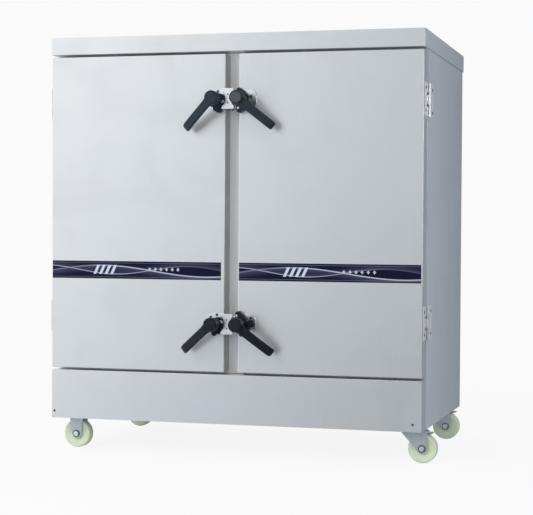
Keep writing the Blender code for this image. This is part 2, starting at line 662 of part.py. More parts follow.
def make_insulation(case):
    inset = SHEET + SEAT
    foam = block("insulation", (inset - CASE_HALF, FRAME_Y + inset, TANK_TOP_Z + SEAT),
                 (CASE_HALF - inset, BACK_Y - 2 * inset, CASE_TOP_Z))
    gap = LINER_SHEET + SEAT
    for side, sign in SIDES.items():
        cut(foam, block(side + "_liner_pocket",
                        (sign * (CHAMBER_INNER_X - gap), FRAME_Y, CHAMBER_FLOOR_Z - gap),
                        (sign * (CHAMBER_OUTER_X + gap), CHAMBER_BACK_Y + gap, CHAMBER_TOP_Z + gap)),
            rod(side + "_riser_pocket", (sign * CHAMBER_MIDDLE_X, RISER_Y, TANK_TOP_Z - OVERRUN),
                (sign * CHAMBER_MIDDLE_X, RISER_Y, CHAMBER_FLOOR_Z), RISER_RADIUS + SEAT))
    cut(foam, block("mullion_pocket", (-MULLION_WIDTH / 2 - SEAT, FRAME_Y, FRAME_BOTTOM_Z - OVERRUN),
                    (MULLION_WIDTH / 2 + SEAT, FRAME_Y + MULLION_DEPTH + SEAT, CASE_TOP_Z + OVERRUN)),
        rod("vent_cross_pocket", (-CHAMBER_INNER_X, VENT_Y, VENT_Z), (CHAMBER_INNER_X, VENT_Y, VENT_Z),
            VENT_CROSS_RADIUS + SEAT),
        rod("vent_stem_pocket", (0, VENT_Y, VENT_Z), (0, BACK_Y, VENT_Z), VENT_RADIUS + SEAT))
    finish(foam, "foam", case)


# Steam maker and back fittings

def make_tank(case):
    low = (-TANK_HALF, TANK_FRONT_Y, TANK_BOTTOM_Z)
    high = (TANK_HALF, TANK_BACK_Y, TANK_TOP_Z)
    inside_z = TANK_TOP_Z - TANK_SHEET - OVERRUN
    riser_top_z = CHAMBER_FLOOR_Z + RISER_RISE
    tank = block("water_tank", low, high)
    risers = [(side, sign * CHAMBER_MIDDLE_X) for side, sign in SIDES.items()]
    for side, x in risers:
        fuse(tank, rod(side + "_riser", (x, RISER_Y, inside_z), (x, RISER_Y, riser_top_z), RISER_RADIUS))
    fuse(tank, rod("inlet_stub", (INLET_X, TANK_BACK_Y - TANK_SHEET / 2, INLET_Z),
                   (INLET_X, BACK_Y + INLET_REACH, INLET_Z), INLET_RADIUS))
    inner_low = [value + TANK_SHEET for value in low]
    inner_high = [value - TANK_SHEET for value in high]
    cut(tank, block("tank_space", inner_low, inner_high))
    for side, x in risers:
        cut(tank, rod(side + "_riser_bore", (x, RISER_Y, inside_z - OVERRUN),
                      (x, RISER_Y, riser_top_z + OVERRUN), RISER_RADIUS - TANK_SHEET))
    half = heater_half_width() + HEATER_RADIUS + SEAT
    cut(tank, rod("inlet_bore", (INLET_X, TANK_BACK_Y - OVERRUN, INLET_Z),
                  (INLET_X, BACK_Y + INLET_REACH + OVERRUN, INLET_Z), INLET_BORE),
        rod("drain_outlet", (DRAIN_X, TANK_BACK_Y - OVERRUN, DRAIN_Z),
            (DRAIN_X, TANK_BACK_Y + OVERRUN, DRAIN_Z), DRAIN_BORE),
        block("heater_window", (-half, TANK_BACK_Y - OVERRUN, heater_z() - HEATER_RADIUS - SEAT),
              (half, TANK_BACK_Y + OVERRUN, heater_z() + HEATER_RADIUS + SEAT)))
    finish(tank, "inner_steel", case)


def heater_z():
    return TANK_BOTTOM_Z + TANK_SHEET + HEATER_RISE


def heater_half_width():
    return (HEATER_RUNS - 1) * HEATER_PITCH / 2


def make_heater(case):
    """One serpentine element on a flange that closes the window in the tank's back wall."""
    flange_y = TANK_BACK_Y + SEAT
    outer_y = flange_y + HEATER_FLANGE_SHEET + HEATER_TERMINAL
    far_y = flange_y - HEATER_LENGTH
    near_y = TANK_BACK_Y - TANK_SHEET - HEATER_PITCH / 2 - HEATER_FLANGE
    points = []
    for run in range(HEATER_RUNS):
        x = run * HEATER_PITCH - heater_half_width()
        first, last = run == 0, run == HEATER_RUNS - 1
        start_y = outer_y if first else near_y
        end_y = outer_y if last else near_y
        if run % 2 == 0:
            points += [(x, start_y)]
            points += arc(x + HEATER_PITCH / 2, far_y, HEATER_PITCH / 2, 180, 360, BEND_STEPS)
        elif last:
            points += [(x, end_y)]
        else:
            points += arc(x + HEATER_PITCH / 2, near_y, HEATER_PITCH / 2, 180, 0, BEND_STEPS)
    route = []
    for x, y in points:
        place = (x, y, heater_z())
        if not route or (Vector(place) - Vector(route[-1])).length > HEATER_RADIUS:
            route.append(place)
    element = bent_tube("heating_element", route, HEATER_RADIUS)
    half = heater_half_width() + HEATER_FLANGE
    fuse(element, block("heater_flange", (-half, flange_y, heater_z() - HEATER_FLANGE),
                        (half, flange_y + HEATER_FLANGE_SHEET, heater_z() + HEATER_FLANGE)))
    finish(element, "heater_alloy", case)


def make_vent(case):
    """A tee: the cross pipe opens into both chambers and the stem leaves through the back."""
    reach = CHAMBER_INNER_X + VENT_END
    end_y = BACK_Y + VENT_REACH
    rose_y = BACK_Y + SEAT
    bore_reach = reach + OVERRUN
    vent = rod("steam_vent", (-reach, VENT_Y, VENT_Z), (reach, VENT_Y, VENT_Z), VENT_CROSS_RADIUS)
    fuse(vent, rod("vent_stem", (0, VENT_Y, VENT_Z), (0, end_y, VENT_Z), VENT_RADIUS),
         rod("vent_rose", (0, rose_y, VENT_Z), (0, rose_y + VENT_ROSE, VENT_Z), VENT_ROSE_RADIUS))
    cut(vent, rod("vent_cross_bore", (-bore_reach, VENT_Y, VENT_Z), (bore_reach, VENT_Y, VENT_Z),
                  VENT_CROSS_RADIUS - VENT_WALL),
        rod("vent_stem_bore", (0, VENT_Y, VENT_Z), (0, end_y + OVERRUN, VENT_Z), VENT_RADIUS - VENT_WALL))
    finish(vent, "inner_steel", case)


def make_drain(case):
    """A ball valve, its lever across the pipe while it is shut."""
    start_y = TANK_BACK_Y + SEAT
    ball_y = BACK_Y + DRAIN_BALL_Y
    end_y = BACK_Y + DRAIN_REACH
    half = DRAIN_BALL_HALF
    profile = [(0, end_y), (DRAIN_RADIUS, end_y), (DRAIN_RADIUS, ball_y + half),
               (DRAIN_BALL_RADIUS, ball_y + half / 2), (DRAIN_BALL_RADIUS, ball_y - half / 2),
               (DRAIN_RADIUS, ball_y - half), (DRAIN_RADIUS, start_y), (0, start_y)]
    valve = turned("drain_valve", profile, (DRAIN_X, 0, DRAIN_Z), (0, 1, 0), ROD_SIDES)
    fuse(valve, rod("drain_stem", (DRAIN_X, ball_y, DRAIN_Z), (DRAIN_X, ball_y, DRAIN_Z + DRAIN_STEM),
                    DRAIN_STEM_RADIUS, BARREL_SIDES))
    cut(valve, rod("drain_spout", (DRAIN_X, end_y - DRAIN_BORE_DEPTH, DRAIN_Z),
                   (DRAIN_X, end_y + OVERRUN, DRAIN_Z), DRAIN_BORE),
        rod("drain_entry", (DRAIN_X, start_y - OVERRUN, DRAIN_Z),
            (DRAIN_X, ball_y - DRAIN_BALL_HALF, DRAIN_Z), DRAIN_BORE))
    finish(valve, "valve_brass", case)
    turn = pivot("drain_lever_pivot", (DRAIN_X, ball_y, DRAIN_Z), case)
    place = Matrix.Translation((DRAIN_X, ball_y, DRAIN_Z + LEVER_RISE + LEVER_THICKNESS / 2))
    lever = outline_plate("drain_valve_lever", link_outline(LEVER_WIDTH / 2 + DRAIN_STEM_RADIUS / 2,
                                                            LEVER_WIDTH / 2, LEVER_LENGTH),
                          LEVER_THICKNESS, place)
    eye_z = DRAIN_Z + LEVER_RISE
    cut(lever, rod("lever_eye", (DRAIN_X, ball_y, eye_z - OVERRUN), (DRAIN_X, ball_y, eye_z + OVERRUN),
                   DRAIN_STEM_RADIUS + PLAY, BARREL_SIDES))
    finish(lever, "lever_red", turn)


def make_gland(case):
    outer, inner = BACK_Y + GLAND_REACH, BACK_Y - SHEET - GLAND_INSIDE
    collar = BACK_Y + SEAT
    nut = BACK_Y - SHEET - SEAT
    profile = [(GLAND_BORE, outer), (GLAND_SHANK, outer), (GLAND_NUT, collar + GLAND_COLLAR),
               (GLAND_FLANGE, collar + GLAND_COLLAR), (GLAND_FLANGE, collar), (GLAND_SHANK, collar),
               (GLAND_SHANK, nut), (GLAND_NUT, nut), (GLAND_NUT, nut - GLAND_COLLAR),
               (GLAND_SHANK, nut - GLAND_COLLAR), (GLAND_SHANK, inner), (GLAND_BORE, inner)]
    gland = turned("cable_gland", profile, (GLAND_X, 0, GLAND_Z), (0, 1, 0), ROD_SIDES, closed=True)
    finish(gland, "gland_nylon", case)


# Doors

def make_door(side, door):
    sign = SIDES[side]
    inner_x, outer_x = DOOR_SPLIT / 2, CASE_HALF
    shell = pan(side + "_door_shell", (sign * inner_x, FRONT_Y, DOOR_BOTTOM_Z),
                (sign * outer_x, DOOR_BACK_Y, DOOR_TOP_Z), SHEET, [(0, 1, 0)], folds=[(0, -1, 0)])
    finish(shell, "case_steel", door)

    inset = SHEET + SEAT
    lining = block(side + "_door_inner_panel",
                   (sign * (inner_x + inset), DOOR_BACK_Y - DOOR_LINING, DOOR_BOTTOM_Z + inset),
                   (sign * (outer_x - inset), DOOR_BACK_Y, DOOR_TOP_Z - inset))
    ring = GASKET_MARGIN - PLUG_MARGIN
    plug_back = DOOR_BACK_Y + PLUG_DEPTH
    fuse(lining, block(side + "_plug", (sign * (CHAMBER_INNER_X - ring), DOOR_BACK_Y - DOOR_LINING,
                                        CHAMBER_FLOOR_Z - ring),
                       (sign * (CHAMBER_OUTER_X + ring), plug_back, CHAMBER_TOP_Z + ring)))
    ring -= DOOR_LINING
    cut(lining, block(side + "_plug_hollow",
                      (sign * (CHAMBER_INNER_X - ring), DOOR_BACK_Y - OVERRUN, CHAMBER_FLOOR_Z - ring),
                      (sign * (CHAMBER_OUTER_X + ring), plug_back - DOOR_LINING, CHAMBER_TOP_Z + ring)))
    finish(lining, "inner_steel", door)

    ring = GASKET_MARGIN + GASKET_WIDTH
    gasket = block(side + "_door_gasket",
                   (sign * (CHAMBER_INNER_X - ring), DOOR_BACK_Y + SEAT, CHAMBER_FLOOR_Z - ring),
                   (sign * (CHAMBER_OUTER_X + ring), FRAME_Y - SEAT, CHAMBER_TOP_Z + ring))
    ring = GASKET_MARGIN
    cut(gasket, block(side + "_gasket_inside",
                      (sign * (CHAMBER_INNER_X - ring), DOOR_BACK_Y - OVERRUN, CHAMBER_FLOOR_Z - ring),
                      (sign * (CHAMBER_OUTER_X + ring), FRAME_Y + OVERRUN, CHAMBER_TOP_Z + ring)))
    finish(gasket, "gasket_silicone", door)


def make_hinge(side, level, case, door):
    """Three knuckles: the case leaf has the outer two and the pin, the door leaf the middle one."""
    sign = SIDES[side]
    z = HINGE_LEVELS[level]
    name = side + "_" + level + "_hinge"
    half, knuckle = HINGE_HEIGHT / 2, HINGE_HEIGHT / 6
    face_x = sign * (CASE_HALF + SEAT)
    back_x = face_x + sign * HINGE_SHEET
    axis_x = sign * HINGE_X
    clear_y = HINGE_BARREL + PLAY
    case_leaf = block(name + "_case_leaf", (face_x, HINGE_Y + clear_y, z - half),
                      (back_x, HINGE_Y + HINGE_CASE_LEAF, z + half))
    for end in (-1, 1):
        near_z, far_z = z + end * (knuckle + SEAT), z + end * half
        fuse(case_leaf, block(name + "_tongue_%d" % end, (face_x, HINGE_Y, near_z),
                              (back_x, HINGE_Y + clear_y + PLAY, far_z)),
             rod(name + "_barrel_%d" % end, (axis_x, HINGE_Y, near_z), (axis_x, HINGE_Y, far_z),
                 HINGE_BARREL, BARREL_SIDES))
    fuse(case_leaf, rod(name + "_pin", (axis_x, HINGE_Y, z - knuckle - OVERRUN / 2),
                        (axis_x, HINGE_Y, z + knuckle + OVERRUN / 2), HINGE_PIN, BARREL_SIDES))
    finish(case_leaf, "hinge_steel", case)

    door_leaf = block(name + "_door_leaf", (face_x, HINGE_Y - HINGE_DOOR_LEAF, z - half),
                      (back_x, HINGE_Y - clear_y, z + half))
    fuse(door_leaf, block(name + "_middle_tongue", (face_x, HINGE_Y - clear_y - PLAY, z - knuckle),
                          (back_x, HINGE_Y, z + knuckle)),
         rod(name + "_middle_barrel", (axis_x, HINGE_Y, z - knuckle), (axis_x, HINGE_Y, z + knuckle),
             HINGE_BARREL, BARREL_SIDES))
    cut(door_leaf, rod(name + "_bore", (axis_x, HINGE_Y, z - knuckle - OVERRUN),
                       (axis_x, HINGE_Y, z + knuckle + OVERRUN), HINGE_PIN + SEAT, BARREL_SIDES))
    finish(door_leaf, "hinge_steel", door)


# Latches

def arm_outline():
    """The arm from its side: local X along the arm, local Y away from the doors."""
    line = [Vector((ARM_LENGTH * along, -ARM_DROP * down)) for along, down in ARM_LINE_SHARES]
    front, back = [], []
    for index, point in enumerate(line):
        before, after = line[max(index - 1, 0)], line[min(index + 1, len(line) - 1)]
        run = (after - before).normalized()
        across = Vector((-run.y, run.x)) * ARM_THICKNESS / 2
        front.append(tuple(point + across))
        back.append(tuple(point - across))
    return back + front[::-1]


def make_latch(side, level, door):
    """A post on a plate, and the handle that turns on it: hub, cam and arm in one casting."""
    sign = SIDES[side]
    x, z = sign * LATCH_X, LATCH_LEVELS[level]
    name = side + "_" + level + "_latch"
    plate_back = FRONT_Y - SEAT
    plate_front = plate_back - LATCH_PLATE
    outline = rounded_outline(-LATCH_PLATE_INNER, LATCH_PLATE_OUTER, LATCH_PLATE_HALF,
                              LATCH_PLATE_INNER_CORNER, LATCH_PLATE_CORNER)
    outline = [(sign * px, py) for px, py in outline]
    plate = outline_plate(name + "_plate", outline, LATCH_PLATE,
                          facing_front(x, (plate_back + plate_front) / 2, z))
    fuse(plate, rod(name + "_post", (x, plate_back - LATCH_PLATE / 2, z), (x, FRONT_Y - POST_END, z),
                    POST_RADIUS, BARREL_SIDES))
    finish(plate, "latch_zinc", door)

    turn = pivot(name + "_pivot", (x, FRONT_Y, z), door)
    reach, edge = HANDLE_REACH, HUB_EDGE
    hub_back = LATCH_PLATE + 2 * SEAT
    profile = [(0, reach), (HUB_CAP_RADIUS - edge, reach), (HUB_CAP_RADIUS, reach - edge),
               (HUB_CAP_RADIUS, HUB_NECK_END), (HUB_NECK_RADIUS, HUB_NECK_END - edge),
               (HUB_NECK_RADIUS, HUB_SKIRT_END + edge), (HUB_SKIRT_RADIUS, HUB_SKIRT_END),
               (HUB_SKIRT_RADIUS, hub_back), (0, hub_back)]
    handle = turned(name + "_handle", profile, (x, FRONT_Y, z), (0, -1, 0), HUB_SIDES)
    arm_turn = -90 + sign * REST_ANGLES[side, level]
    arm_place = facing_front(x, FRONT_Y - ARM_TOP, z, arm_turn) @ Matrix.Rotation(math.radians(90), 4, "X")
    arm = outline_plate(name + "_arm", arm_outline(), ARM_WIDTH, arm_place, edge=ARM_EDGE)
    cam_y = FRONT_Y - HUB_SKIRT_END + CAM_THICKNESS / 2
    cam = outline_plate(name + "_cam", link_outline(CAM_ROOT, CAM_TIP, CAM_LENGTH), CAM_THICKNESS,
                        facing_front(x, cam_y, z, arm_turn - sign * CAM_LEAD))
    fuse(handle, arm, cam)
    cut(handle, rod(name + "_bore", (x, FRONT_Y + OVERRUN, z), (x, FRONT_Y - POST_END - SEAT, z),
                    POST_RADIUS + PLAY, BARREL_SIDES))
    finish(handle, "handle_black", turn)


def hourglass_outline():
    """The keeper's face: a rectangle with a round bay on each side for the handles' hubs."""
    rise = math.degrees(math.acos((LATCH_X - KEEPER_HALF_WIDTH) / KEEPER_WAIST))
    right_bay = arc(LATCH_X, 0, KEEPER_WAIST, 180 + rise, 180 - rise, HOURGLASS_STEPS)
    left_bay = arc(-LATCH_X, 0, KEEPER_WAIST, rise, -rise, HOURGLASS_STEPS)
    return ([(KEEPER_HALF_WIDTH, -KEEPER_HALF_HEIGHT)] + right_bay
            + [(KEEPER_HALF_WIDTH, KEEPER_HALF_HEIGHT), (-KEEPER_HALF_WIDTH, KEEPER_HALF_HEIGHT)]
            + left_bay + [(-KEEPER_HALF_WIDTH, -KEEPER_HALF_HEIGHT)])


def make_keeper(level, case):
    z = LATCH_LEVELS[level]
    name = level + "_keeper"
    foot_back = MULLION_FRONT_Y - SEAT
    face_back = FRONT_Y - KEEPER_FACE
    keeper = outline_plate(name, hourglass_outline(), KEEPER_SHEET,
                           facing_front(0, face_back - KEEPER_SHEET / 2, z))
    stem_x, stem_z = KEEPER_STEM_WIDTH / 2, KEEPER_STEM_HEIGHT / 2
    foot_x, foot_z = KEEPER_FOOT_WIDTH / 2, KEEPER_FOOT_HEIGHT / 2
    fuse(keeper, block(name + "_stem", (-stem_x, face_back - KEEPER_SHEET / 2, z - stem_z),
                       (stem_x, foot_back - KEEPER_FOOT / 2, z + stem_z)),
         block(name + "_foot", (-foot_x, foot_back - KEEPER_FOOT, z - foot_z),
               (foot_x, foot_back, z + foot_z)))
    finish(keeper, "latch_zinc", case)


# Castors

def make_wheel(name, x, y, carrier):
    """A nylon wheel between the fork's legs, and the bolt that it runs on."""
    half, web = WHEEL_WIDTH / 2, WHEEL_WEB_WIDTH / 2
    hub_half = WHEEL_HUB_WIDTH / 2
    bore = AXLE_RADIUS + PLAY
    upper = [(bore, hub_half), (WHEEL_HUB_RADIUS, hub_half), (WHEEL_HUB_RADIUS, web),
             (WHEEL_RIM_INNER, web), (WHEEL_RIM_INNER + WHEEL_SHOULDER / 2, half),
             (WHEEL_RADIUS - WHEEL_SHOULDER, half), (WHEEL_RADIUS, half - WHEEL_SHOULDER)]
    profile = upper + [(radius, -height) for radius, height in reversed(upper)]
    turn = pivot(name + "_wheel_pivot", (x, y, WHEEL_RADIUS), carrier)
    wheel = turned(name + "_wheel", profile, (x, y, WHEEL_RADIUS), (0, -1, 0), WHEEL_SIDES, closed=True)
    wheel.rotation_euler.rotate_axis("Z", math.pi / WHEEL_SIDES)
    finish(wheel, "wheel_nylon", turn)

    leg_outer = LEG_GAP / 2 + LEG_SHEET + SEAT
    bolt = rod(name + "_axle", (x, y - leg_outer - AXLE_HEAD, WHEEL_RADIUS),
               (x, y + leg_outer + AXLE_HEAD, WHEEL_RADIUS), AXLE_RADIUS, BARREL_SIDES)
    for end in (-1, 1):
        fuse(bolt, rod(name + "_axle_head_%d" % end, (x, y + end * leg_outer, WHEEL_RADIUS),
                       (x, y + end * (leg_outer + AXLE_HEAD), WHEEL_RADIUS), AXLE_HEAD_RADIUS,
                       HEX_SIDES))
    finish(bolt, "hinge_steel", carrier)


def leg_pair(name, outline, x, y):
    middle = LEG_GAP / 2 + LEG_SHEET / 2
    return [outline_plate(name + "_leg_%d" % end, outline, LEG_SHEET, facing_front(x, y + end * middle, 0))
            for end in (-1, 1)]


def through_hole(name, x, y, z, radius):
    reach = LEG_GAP / 2 + LEG_SHEET + OVERRUN
    return rod(name, (x, y - reach, z), (x, y + reach, z), radius, BARREL_SIDES)


def castor_plate(name, x, y):
    half_x, half_y = CASTOR_PLATE_WIDTH / 2, CASTOR_PLATE_LENGTH / 2
    return block(name, (x - half_x, y - half_y, CASTOR_HEIGHT - CASTOR_PLATE),
                 (x + half_x, y + half_y, CASTOR_HEIGHT))


def make_fixed_castor(name, x, y, case):
    top = CASTOR_HEIGHT - CASTOR_PLATE / 2
    outline = ([(FIXED_LEG_HALF, top), (-FIXED_LEG_HALF, top)]
               + arc(0, WHEEL_RADIUS, LEG_TIP_RADIUS, 190, 350))
    fork = castor_plate(name + "_fork", x, y)
    fuse(fork, *leg_pair(name, outline, x, y))
    cut(fork, through_hole(name + "_axle_hole", x, y, WHEEL_RADIUS, AXLE_RADIUS + SEAT))
    finish(fork, "castor_zinc", case)
    make_wheel(name, x, y, case)


def make_swivel_castor(name, x, y, case):
    """The fork hangs from the plate on a riveted kingpin, and the wheel trails towards +X."""
    plate_bottom = CASTOR_HEIGHT - CASTOR_PLATE
    crown_bottom = CROWN_TOP_Z - CROWN_HEIGHT
    head_top = crown_bottom - SEAT
    plate = castor_plate(name + "_plate", x, y)
    head_bottom = head_top - KINGPIN_HEAD
    fuse(plate, rod(name + "_race", (x, y, plate_bottom + CASTOR_PLATE / 2),
                    (x, y, plate_bottom - RACE_HEIGHT), RACE_RADIUS),
         rod(name + "_kingpin", (x, y, plate_bottom), (x, y, head_bottom), KINGPIN_RADIUS, BARREL_SIDES),
         rod(name + "_kingpin_head", (x, y, head_top), (x, y, head_bottom), KINGPIN_HEAD_RADIUS,
             BARREL_SIDES))
    finish(plate, "castor_zinc", case)

    swivel = pivot(name + "_swivel_pivot", (x, y, CROWN_TOP_Z), case)
    leg_top = CROWN_TOP_Z - LEG_TOP_DROP
    ear_x = BRAKE_X + BRAKE_EAR
    outline = ([(CROWN_RADIUS, leg_top), (-CROWN_RADIUS, leg_top), (-CROWN_RADIUS, leg_top - LEG_HEEL)]
               + arc(TRAIL, WHEEL_RADIUS, LEG_TIP_RADIUS, 200, 360)
               + [(ear_x, BRAKE_Z - BRAKE_EAR), (ear_x, BRAKE_Z + BRAKE_EAR)])
    fork = rod(name + "_fork", (x, y, crown_bottom), (x, y, CROWN_TOP_Z), CROWN_RADIUS)
    fuse(fork, *leg_pair(name, outline, x, y))
    cut(fork, rod(name + "_kingpin_hole", (x, y, crown_bottom - OVERRUN / 2), (x, y, CROWN_TOP_Z + OVERRUN),
                  KINGPIN_RADIUS + PLAY, BARREL_SIDES),
        through_hole(name + "_axle_hole", x + TRAIL, y, WHEEL_RADIUS, AXLE_RADIUS + SEAT),
        through_hole(name + "_brake_hole", x + BRAKE_X, y, BRAKE_Z, BRAKE_PIN + SEAT))
    finish(fork, "castor_zinc", swivel)
    make_wheel(name, x + TRAIL, y, swivel)

    press = pivot(name + "_brake_pivot", (x + BRAKE_X, y, BRAKE_Z), swivel)
    half = PEDAL_WIDTH / 2
    reach = LEG_GAP / 2 + LEG_SHEET
    pedal = block(name + "_brake_pedal", (x + BRAKE_X, y - half, BRAKE_Z - PEDAL_SHEET / 2),
                  (x + PEDAL_END, y + half, BRAKE_Z + PEDAL_SHEET / 2))
    pin_x, shoe_half = x + BRAKE_X, WHEEL_WEB_WIDTH / 2
    fuse(pedal, rod(name + "_brake_barrel", (pin_x, y - half, BRAKE_Z), (pin_x, y + half, BRAKE_Z),
                    BRAKE_BARREL, BARREL_SIDES),
         rod(name + "_brake_pin", (pin_x, y - reach, BRAKE_Z), (pin_x, y + reach, BRAKE_Z),
             BRAKE_PIN, BARREL_SIDES),
         block(name + "_brake_shoe", (pin_x + SHOE_START, y - shoe_half, BRAKE_Z),
               (pin_x + SHOE_END, y + shoe_half, BRAKE_Z - SHOE_DROP)))
    finish(pedal, "castor_zinc", press)


def build():
    case = pivot("case", (0, 0, 0))
    make_cap(case)
    make_back_panel(case)
    make_base(case)
    make_mullion(case)
    make_insulation(case)
    make_tank(case)
    make_heater(case)
    make_vent(case)
    make_drain(case)
    make_gland(case)
    for side, sign in SIDES.items():
        make_side_panel(side, case)
        make_liner(side, case)
        for tray_name, share in zip(("lower", "upper"), TRAY_TIER_SHARES):
            make_tray(side, tray_name, round(share * LAST_TIER_INDEX), case)
        door = pivot(side + "_door_pivot", (sign * HINGE_X, HINGE_Y, DOOR_BOTTOM_Z), case)
        make_door(side, door)
        for level in HINGE_LEVELS:
            make_hinge(side, level, case, door)
        for level in LATCH_LEVELS:
            make_latch(side, level, door)
    for level in LATCH_LEVELS:
        make_keeper(level, case)
    front_y = FRONT_Y + FRONT_CASTOR_Y
    rear_y = BACK_Y - REAR_CASTOR_Y
    make_fixed_castor("front_left_castor", -FIXED_CASTOR_X, front_y, case)
    make_fixed_castor("rear_left_castor", -FIXED_CASTOR_X, rear_y, case)
    make_swivel_castor("front_right_castor", FRONT_SWIVEL_X, front_y, case)
    make_swivel_castor("rear_right_castor", REAR_SWIVEL_X, rear_y, case)
    for tool in TOOLS.objects:
        tool.parent = case
    case.location.x = CASE_MIDDLE_X


build()
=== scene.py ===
"""Looks of the double-door steam cabinet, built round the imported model.

Metres, +Z up, the doors face -Y. Each piece is built in place, so every object stands at the origin.
"""
import json
import math
from itertools import product

import bmesh
import bpy
from bpy.props import FloatProperty, FloatVectorProperty, PointerProperty
from mathutils import Matrix, Vector


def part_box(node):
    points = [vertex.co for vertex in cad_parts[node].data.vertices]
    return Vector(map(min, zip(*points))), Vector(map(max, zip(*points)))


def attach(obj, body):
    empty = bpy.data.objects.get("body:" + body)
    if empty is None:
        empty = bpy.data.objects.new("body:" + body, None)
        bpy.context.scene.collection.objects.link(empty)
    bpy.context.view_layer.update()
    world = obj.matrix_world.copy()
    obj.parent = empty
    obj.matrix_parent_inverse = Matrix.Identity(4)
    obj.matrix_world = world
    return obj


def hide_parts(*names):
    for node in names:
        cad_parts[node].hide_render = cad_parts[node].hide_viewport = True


bl_info = {
    "name": "Steam Cabinet",
    "version": (1, 0, 0),
    "blender": (4, 5, 0),
    "location": "View3D > Sidebar > Steam Cabinet",
    "description": "Builds the looks of a double-door steam cabinet on its packed model",
    "category": "Object",
}

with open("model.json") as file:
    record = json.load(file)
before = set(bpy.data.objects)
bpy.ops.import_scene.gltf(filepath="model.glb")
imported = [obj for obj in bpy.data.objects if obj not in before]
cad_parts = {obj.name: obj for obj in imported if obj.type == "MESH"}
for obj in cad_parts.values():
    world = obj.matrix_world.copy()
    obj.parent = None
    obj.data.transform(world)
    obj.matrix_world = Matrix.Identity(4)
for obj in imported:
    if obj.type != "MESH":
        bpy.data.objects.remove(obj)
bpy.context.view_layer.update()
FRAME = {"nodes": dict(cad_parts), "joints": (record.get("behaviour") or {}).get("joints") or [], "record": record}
NODES = FRAME["nodes"]
JOINTS = {joint["name"]: joint for joint in FRAME["joints"]}
BODY_OF = {node: body for body, nodes in FRAME["record"]["behaviour"]["bodies"].items() for node in nodes}
SLOT_OF = {part["node"]: part["material_slot"] for part in FRAME["record"]["subparts"]}

SIDES = {"left": -1, "right": 1}
LEVELS = ("upper", "lower")
FRONT = Vector((0, -1, 0))
QUARTER = math.pi / 2

CAP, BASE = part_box("top_cap"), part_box("base_front_panel")
MIDDLE_X = (CAP[0].x + CAP[1].x) / 2
CASE_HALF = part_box("right_door_shell")[1].x - MIDDLE_X
FRAME_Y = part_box("right_chamber_liner")[0].y

# Measures of the model that the looks have to meet
SEAT = 0.0003  # between pieces that are bolted or laid together
HAIR = 0.0001  # between faces that would otherwise coincide
LINING = 0.0012  # sheet of the chambers
TRAY_ROOM = 0.0060  # from a tray to its chamber's walls
SILL = 0.0430  # from a door's end to its chamber's floor or roof
RISER_HOLE, VENT_HOLE = 0.0303, 0.0223  # radii in the chambers' sheet
RISER_BEHIND, VENT_AHEAD = 0.150, 0.120  # from the tank's front, and from a chamber's back
RUNNER_PITCH, RUNNERS_SHORT = 0.100, 0.040  # from runner to runner, and less long than a chamber is deep
RUNNER = {"Pitch": RUNNER_PITCH, "Reach": 0.0158, "Leg": 0.0180, "Sheet": 0.0015}
TRAY_RIM, TRAY_SHEET = 0.012, 0.0009
HINGE_SHEET = 0.0025
LATCH_SHEET, LATCH_OUTER, LATCH_INNER = 0.0030, 0.022, 0.004  # a latch plate and its corners' radii
POST, COLLAR, BRACKET_BORE = 0.0088, 0.0155, 0.0146  # radii about a latch handle's post
BRACKET_BACK, BRACKET = 0.0034, 0.0170  # how far the brackets stand off the doors, and their thickness
KEEPER_HALF, KEEPER_BAY = 0.0215, 0.0335  # a keeper's half width, and the radius of its hollows
CASTOR_PLATE, BOLT_INSET = 0.0030, 0.012
TREAD_HALF = 0.0160  # half the width of a castor wheel's tread
BAND_FOOT, BAND_HEAD, BAND_OUTSET = 0.6065, 0.6675, 0.0038  # the bands' heights and left inset

# Brackets behind the latch handles as (x, z, radius) of their ends, and the places of their rivets
LOBES = {("left", "upper"): [(0.0000, -0.0350, 0.0100)], ("left", "lower"): [(0.0040, -0.0270, 0.0095)],
         ("right", "upper"): [(-0.0130, -0.0360, 0.0095), (-0.0135, 0.0310, 0.0080)],
         ("right", "lower"): [(-0.0135, 0.0335, 0.0095)]}
RIVETS = {("left", "upper"): (0.0160, -0.0075), ("right", "upper"): (-0.0150, -0.0290),
          ("left", "lower"): (0.0165, 0.0050), ("right", "lower"): (-0.0160, 0.0270)}

# A latch handle: (radius, height) up its hub's side, and (along, down) the line of its arm
HUB_SIDE = ((0.0096, 0.0042), (0.0138, 0.0042), (0.0142, 0.0048), (0.0142, 0.0310), (0.0158, 0.0345),
            (0.0186, 0.0385), (0.0196, 0.0420), (0.0199, 0.0530), (0.0212, 0.0575), (0.0232, 0.0620),
            (0.0236, 0.0650))
HUB_HOLLOW = 0.0712
ARM_LINE = ((0.0, 0.0), (0.2, 0.08), (0.42, 0.30), (0.66, 0.56), (0.84, 0.76), (0.94, 0.92), (1.0, 1.12))
ARM_LENGTH, ARM_DROP, ARM_HEIGHT = 0.146, 0.043, 0.078

# (radius, depth under the tread's side) across a castor wheel's disc
WHEEL_DISC = ((0.0140, 0.0062), (0.0165, 0.0058), (0.0250, 0.0030), (0.0340, 0.0022), (0.0375, 0.0010),
              (0.0395, 0.0))


# Properties

def amount(label, text, default, low=0, **more):
    return FloatProperty(name=label, description=text, default=default, min=low, **more)


def size(label, text, default):
    return amount(label, text, default, subtype="DISTANCE", unit="LENGTH", precision=4)


def colour(label, text, default):
    return FloatVectorProperty(name=label, description=text, default=default, size=3, min=0, max=1,
                               subtype="COLOR")


